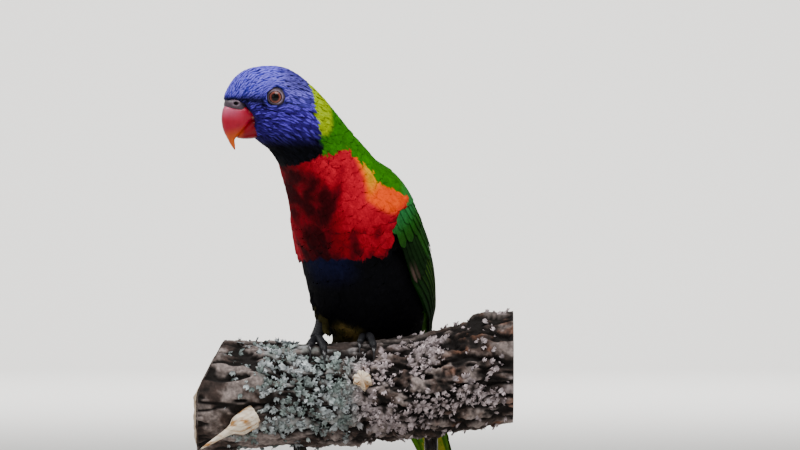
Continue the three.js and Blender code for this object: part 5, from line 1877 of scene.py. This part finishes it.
# Slant, reach round the branch, size.
TOES = [(-0.16, 17, 0.9), (0.2, 21, 1.0), (-0.42, -11, 0.85), (0.42, -17, 0.95)]
TOE_RADIUS = 1.9
CLAW_LENGTH = 7


def on_bark(foot, slant, along, rise):
    """A point of a foot: the distance round the branch from the foot's middle, moved along it by the
    slant."""
    x, y = FEET[foot]
    middle = np.degrees(np.arcsin(-y / PERCH_RADIUS))
    return bark_point(x + slant, middle + np.degrees(along / PERCH_RADIUS), rise)


class LORIKEET_OT_feet(bpy.types.Operator):
    """Feet with two toes ahead and two behind, scaled and jointed, and their curved claws"""

    bl_idname = "lorikeet.feet"
    bl_label = "Feet and claws"

    def execute(self, context):
        look = settings("bill")
        grey, claw_grey = look.scale_grey, look.claw_grey
        # Horny scales on toes: small plates with a dull shine, each paler towards its raised rim.
        scales = marked_surface("toe_scales", 0.55, 0.8, 0.12, 0.2, specular=0.2)
        # Claw horn: dense, dark and polished by wear.
        horn = marked_surface("claw_horn", 0.28, 1.5, 0.03, 0.15, specular=0.5, coat=0.2)
        for foot in FEET:
            parts = [self.shank(foot)]
            claws = []
            for slant, reach, size in TOES:
                parts.append(self.toe(foot, slant, reach, size))
                claws.append(self.claw(foot, slant, reach, size))
            points, faces, values = together(parts)
            plate = values["plate"]
            colour = grey * (0.55 + 0.9 * plate)[:, None] * (0.8 + 0.4 * noise(points, 1.2, 51))[:, None]
            piece(
                f"scaled_foot_{foot}", points, faces, scales, colour=colour,
                replaces=[f"foot_{foot}"]
            )
            points, faces, values = together(claws)
            colour = mix(claw_grey, claw_grey * 2.2, values["worn"])
            stands_for = [f"claw_{foot}_{i + 1}" for i in range(len(TOES))]
            piece(f"claws_{foot}", points, faces, horn, colour=colour, replaces=stands_for)
        return {"FINISHED"}

    def toe(self, foot, slant, reach, size):
        """A toe: a tube on the bark, swollen at its joints and crossed by plates whose rims stand up in
        steps."""
        u = np.linspace(0, 1, 64)
        line = on_bark(foot, slant * abs(reach) * u, reach * u, TOE_RADIUS * size + GAP)
        joints = 1 + 0.08 * np.cos(2 * np.pi * 2 * u)
        plates = (u * abs(reach) / 1.25) % 1
        top = np.clip(np.cos(turns(24) - np.pi / 2), 0, 1)[None]
        radius = TOE_RADIUS * size * joints * np.interp(u, [0, 0.9, 1], [1.05, 0.95, 0.6])
        radius = radius[:, None] * (1 + 0.09 * plates[:, None] * top)
        points, faces = tube(round_tube(line, radius))
        plate = np.concatenate([np.repeat(plates, 24), [0.5, 0.5]])
        return points, faces, {"plate": plate}

    def claw(self, foot, slant, reach, size):
        """A claw: a round horn that leaves the toe's end, arches over by a half sine and tapers to its
        point."""
        u = np.linspace(0, 1, 32)
        way = np.sign(reach)
        along = reach + way * (TOE_RADIUS * 0.2 + CLAW_LENGTH * 0.98 * u)
        rise = GAP + 0.15 + (TOE_RADIUS * 0.95 + 1.4 * np.sin(np.pi * u)) * (1 - 0.75 * u * u)
        line = on_bark(foot, slant * abs(reach), along, rise)
        radius = (1.45 + (0.14 - 1.45) * u**0.85) * size
        points, faces = tube(round_tube(line, radius[:, None], 20))
        return points, faces, {"worn": np.concatenate([np.repeat(step(0.6, 1, u), 20), [0, 1]])}

    def shank(self, foot):
        """The short leg: from inside the thigh's feathers down to the sole, thicker at both ends."""
        ankle = to_world(thigh_surface(foot)(0.12, 0.0, -THIGH[0, 1]))
        sole = on_bark(foot, 0, 0, TOE_RADIUS + 0.7)
        u = np.linspace(0, 1, 40)
        line = ankle + (sole - ankle) * u[:, None]
        radius = np.interp(u, [0, 0.4, 0.8, 1], [2.7, 2.3, 2.7, 3.1])
        plates = (u * np.linalg.norm(sole - ankle) / 1.3) % 1
        points, faces = tube(round_tube(line, radius[:, None] * (1 + 0.06 * plates[:, None])))
        return points, faces, {"plate": np.concatenate([np.repeat(plates, 24), [0.5, 0.5]])}


# The stand

BASE_LENGTH, BASE_DEPTH, BASE_THICK, BASE_CORNER, BASE_BEVEL = 156, 124, 12, 22, 2
ROD_RADIUS, COLLAR_RADIUS, COLLAR_HEIGHT = 3.2, 7.5, 5
ROD_PLACES = (-22, 42)


def lathe(x, profile, around=64):
    """A profile of radius and height turned about an upright line at x."""
    profile = np.array(profile, float)
    angle = turns(around)
    ring = np.stack([np.cos(angle), np.sin(angle)], -1)
    across = profile[:, 0][:, None, None] * ring[None]
    height = np.broadcast_to(profile[:, 1][:, None, None], across.shape[:2] + (1,))
    return np.concatenate([across, height], -1) + np.array([x, 0, 0.0])


def grained_wood(name, dark, warm):
    """Walnut, sawn, sanded and oiled: grain some 6 mm across drawn out along the board, a satin shine."""
    material, tree = start_material(name)
    drawn_out = (0.12, 1, 1)
    grain = ranged(tree, grain_noise(tree, 6, drawn_out, Detail=6.0, Distortion=0.6), 0, 1, 0.35, 0.65)
    pores = grain_noise(tree, 0.7, drawn_out, Detail=2.0)
    blend = node(tree, "ShaderNodeMix", {0: grain, 6: (*dark, 1), 7: (*warm, 1)}, data_type="RGBA")
    colour = toned(tree, blend.outputs[2], ranged(tree, pores, 0.75, 1.1))
    inputs = {"Base Color": colour, "Roughness": 0.38, "Coat Weight": 0.2, "Coat Roughness": 0.2}
    finish_material(tree, pores, 0.3, 0.05, inputs)
    return material


def brushed_steel(name, colour):
    """Stainless steel rod, brushed lengthwise: fine lines 0.3 mm apart in gloss and relief."""
    material, tree = start_material(name)
    lines = grain_noise(tree, 0.3, (1, 1, 0.03), Detail=2.0)
    tone = toned(tree, (*colour, 1), ranged(tree, lines, 0.9, 1.05))
    inputs = {"Base Color": tone, "Metallic": 1.0, "Roughness": ranged(tree, lines, 0.22, 0.4)}
    finish_material(tree, lines, 0.15, 0.02, inputs)
    return material


class LORIKEET_OT_stand(bpy.types.Operator):
    """Wooden base with rounded corners, and two steel rods in collars up to the branch"""

    bl_idname = "lorikeet.stand"
    bl_label = "Stand"

    def execute(self, context):
        look = settings("stand")
        # The plate: a rounded rectangle carried up the profile of its edge.
        angle = np.linspace(0, 2 * np.pi, 160, endpoint=False)
        corner = BASE_CORNER
        centres = np.array([BASE_LENGTH / 2 - corner, BASE_DEPTH / 2 - corner])
        signs = np.stack([np.sign(np.cos(angle + 1e-9)), np.sign(np.sin(angle + 1e-9))], -1)
        ring = np.stack([np.cos(angle), np.sin(angle)], -1)
        bend = np.linspace(0, np.pi / 2, 8)
        profile = [(-BASE_BEVEL * (1 - np.sin(b)), BASE_BEVEL * (1 - np.cos(b))) for b in bend]
        profile += [(-BASE_BEVEL * (1 - np.cos(b)), BASE_THICK - BASE_BEVEL * (1 - np.sin(b))) for b in bend]
        profile = [(-BASE_BEVEL - 6, 0)] + profile + [(-BASE_BEVEL - 6, BASE_THICK)]
        rings = []
        for inset, height in profile:
            flat = signs * centres + ring * (corner + inset)
            rings.append(np.hstack([flat, np.full((len(flat), 1), height)]))
        points, faces = tube(np.array(rings))
        wood = grained_wood("oiled_walnut", look.wood_dark, look.wood_warm)
        piece("stand_plate", points, faces, wood, replaces=["stand_base"])
        steel = brushed_steel("brushed_steel", look.steel)
        r, h, bore = COLLAR_RADIUS, COLLAR_HEIGHT, ROD_RADIUS + 0.1
        collar = [
            (bore, 0), (r, 0), (r, h * 0.55), (r - 0.4, h * 0.7), (r * 0.8, h - 0.2), (r * 0.74, h),
            (bore, h)
        ]
        for number, x in enumerate(ROD_PLACES, 1):
            low, high = BASE_THICK + GAP, float(perch_line(np.array(x * 1.0))[2]) - PERCH_RADIUS + 2.5
            rod = [(ROD_RADIUS, low), (ROD_RADIUS, low + 0.5), (ROD_RADIUS, high)]
            for kind, profile in (
                ("rod", rod), ("collar", [(radius, height + low) for radius, height in collar])
            ):
                points, faces = tube(lathe(x, profile))
                made = f"stand_steel_{kind}_{number}"
                piece(made, points, faces, steel, replaces=[f"stand_{kind}_{number}"])
        return {"FINISHED"}


# Stage

VIEW_CENTRE = (26.83, 0.0, 193.07)  # mm, the middle of the picture at the branch


def matt_paint(colour):
    """Matt painted board, with a trace of roller texture."""
    material, tree = start_material("matt_paint")
    finish_material(tree, grain_noise(tree, 3), 0.05, 0.1, {"Base Color": (*colour, 1), "Roughness": 0.9})
    return material


class LORIKEET_OT_studio(bpy.types.Operator):
    """Pale floor that sweeps up to a backdrop, soft lights and the camera"""

    bl_idname = "lorikeet.studio"
    bl_label = "Studio"

    def execute(self, context):
        look = settings("studio")
        # The sweep: flat floor, a quarter circle, then an upright wall, carried along X. The wall stands
        # farther off than the camera, so that the model can be looked at from behind too.
        wall = look.distance + 4.0
        bend = np.linspace(0, np.pi / 2, 24)
        y = np.concatenate([[-look.distance - 2, -1.0, wall - 2.0], wall - 1.0 + np.sin(bend), [wall, wall]])
        z = np.concatenate([[0.0, 0.0, 0.0], 1.0 - np.cos(bend), [1.6, 2.4]])
        x = np.linspace(-look.distance - 2, look.distance + 2, 21)
        points = np.stack(np.broadcast_arrays(x[:, None], y, z), -1).reshape(-1, 3)
        faces = grid_faces(len(x), len(y))
        mesh = bpy.data.meshes.new("studio_sweep")
        mesh.from_pydata(points.tolist(), [], faces.tolist())
        mesh.polygons.foreach_set("use_smooth", np.ones(len(mesh.polygons), bool))
        sweep = in_scene("studio_sweep", mesh)
        mesh.materials.append(matt_paint(look.floor))

        world = bpy.data.worlds.new("studio_room")
        world.use_nodes = True
        world.node_tree.nodes["Background"].inputs["Color"].default_value = (0.93, 0.96, 1.0, 1)
        world.node_tree.nodes["Background"].inputs["Strength"].default_value = look.sky
        context.scene.world = world
        self.light("key_light", (0.3, -0.7, 1.5), (0, 0, 0.2), 1.0, look.key_power)
        self.light("side_light", (-0.95, 0.15, 1.1), (0, 0, 0.2), 0.9, look.side_power)
        self.light("fill_light", (-1.2, -2.0, 0.9), (0, 0, 0.2), 1.4, look.fill_power)
        self.light("backdrop_light", (0, wall - 3.0, 3.2), (0, wall - 0.8, 0.2), 2.5, look.backdrop_power)

        camera = bpy.data.cameras.new("photo_camera")
        camera.lens = camera.sensor_width * look.distance / look.frame_width
        camera.clip_start, camera.clip_end = 0.1, 50
        made = in_scene("photo_camera", camera)
        made.location = (VIEW_CENTRE[0] * MM, -look.distance, VIEW_CENTRE[2] * MM)
        made.rotation_euler = (np.pi / 2, 0, 0)
        context.scene.camera = made
        return {"FINISHED"}

    def light(self, name, place, target, size, power):
        """A square area light that faces its target."""
        data = bpy.data.lights.new(name, "AREA")
        data.energy, data.size = power, size
        made = in_scene(name, data)
        made.location = place
        towards = Vector(target) - made.location
        made.rotation_euler = towards.to_track_quat("-Z", "Y").to_euler()
        made.visible_camera = False


class LORIKEET_PT_panel(bpy.types.Panel):
    """The pieces of the model and their settings"""

    bl_idname = "LORIKEET_PT_panel"
    bl_label = "Lorikeet"
    bl_space_type = "VIEW_3D"
    bl_region_type = "UI"
    bl_category = "Lorikeet"

    def draw(self, context):
        for operator in OPERATORS:
            self.layout.operator(operator.bl_idname)
        for key, group in GROUPS.items():
            box = self.layout.box()
            box.label(text=group.__doc__.rstrip("."))
            for name in group.__annotations__:
                box.prop(getattr(context.scene, key), name)


GROUPS = {
    "lorikeet_plumage": LorikeetPlumage,
    "lorikeet_bill": LorikeetBill,
    "lorikeet_perch": LorikeetPerch,
    "lorikeet_stand": LorikeetStand,
    "lorikeet_studio": LorikeetStudio,
}
OPERATORS = (
    LORIKEET_OT_skin,
    LORIKEET_OT_coat,
    LORIKEET_OT_wings,
    LORIKEET_OT_tail,
    LORIKEET_OT_bill,
    LORIKEET_OT_eyes,
    LORIKEET_OT_feet,
    LORIKEET_OT_perch,
    LORIKEET_OT_lichen,
    LORIKEET_OT_stubs,
    LORIKEET_OT_stand,
    LORIKEET_OT_studio,
)


def register():
    """Registers the settings, operators and panel."""
    for made in (*GROUPS.values(), *OPERATORS, LORIKEET_PT_panel):
        bpy.utils.register_class(made)
    for key, group in GROUPS.items():
        setattr(bpy.types.Scene, key, bpy.props.PointerProperty(type=group))


def unregister():
    """Takes them out again."""
    for key in GROUPS:
        delattr(bpy.types.Scene, key)
    for made in (LORIKEET_PT_panel, *reversed(OPERATORS), *GROUPS.values()):
        bpy.utils.unregister_class(made)


def main():
    """Builds every piece in order."""
    register()
    for operator in OPERATORS:
        group, name = operator.bl_idname.split(".")
        getattr(getattr(bpy.ops, group), name)()
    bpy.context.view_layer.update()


if __name__ == "__main__":
    main()
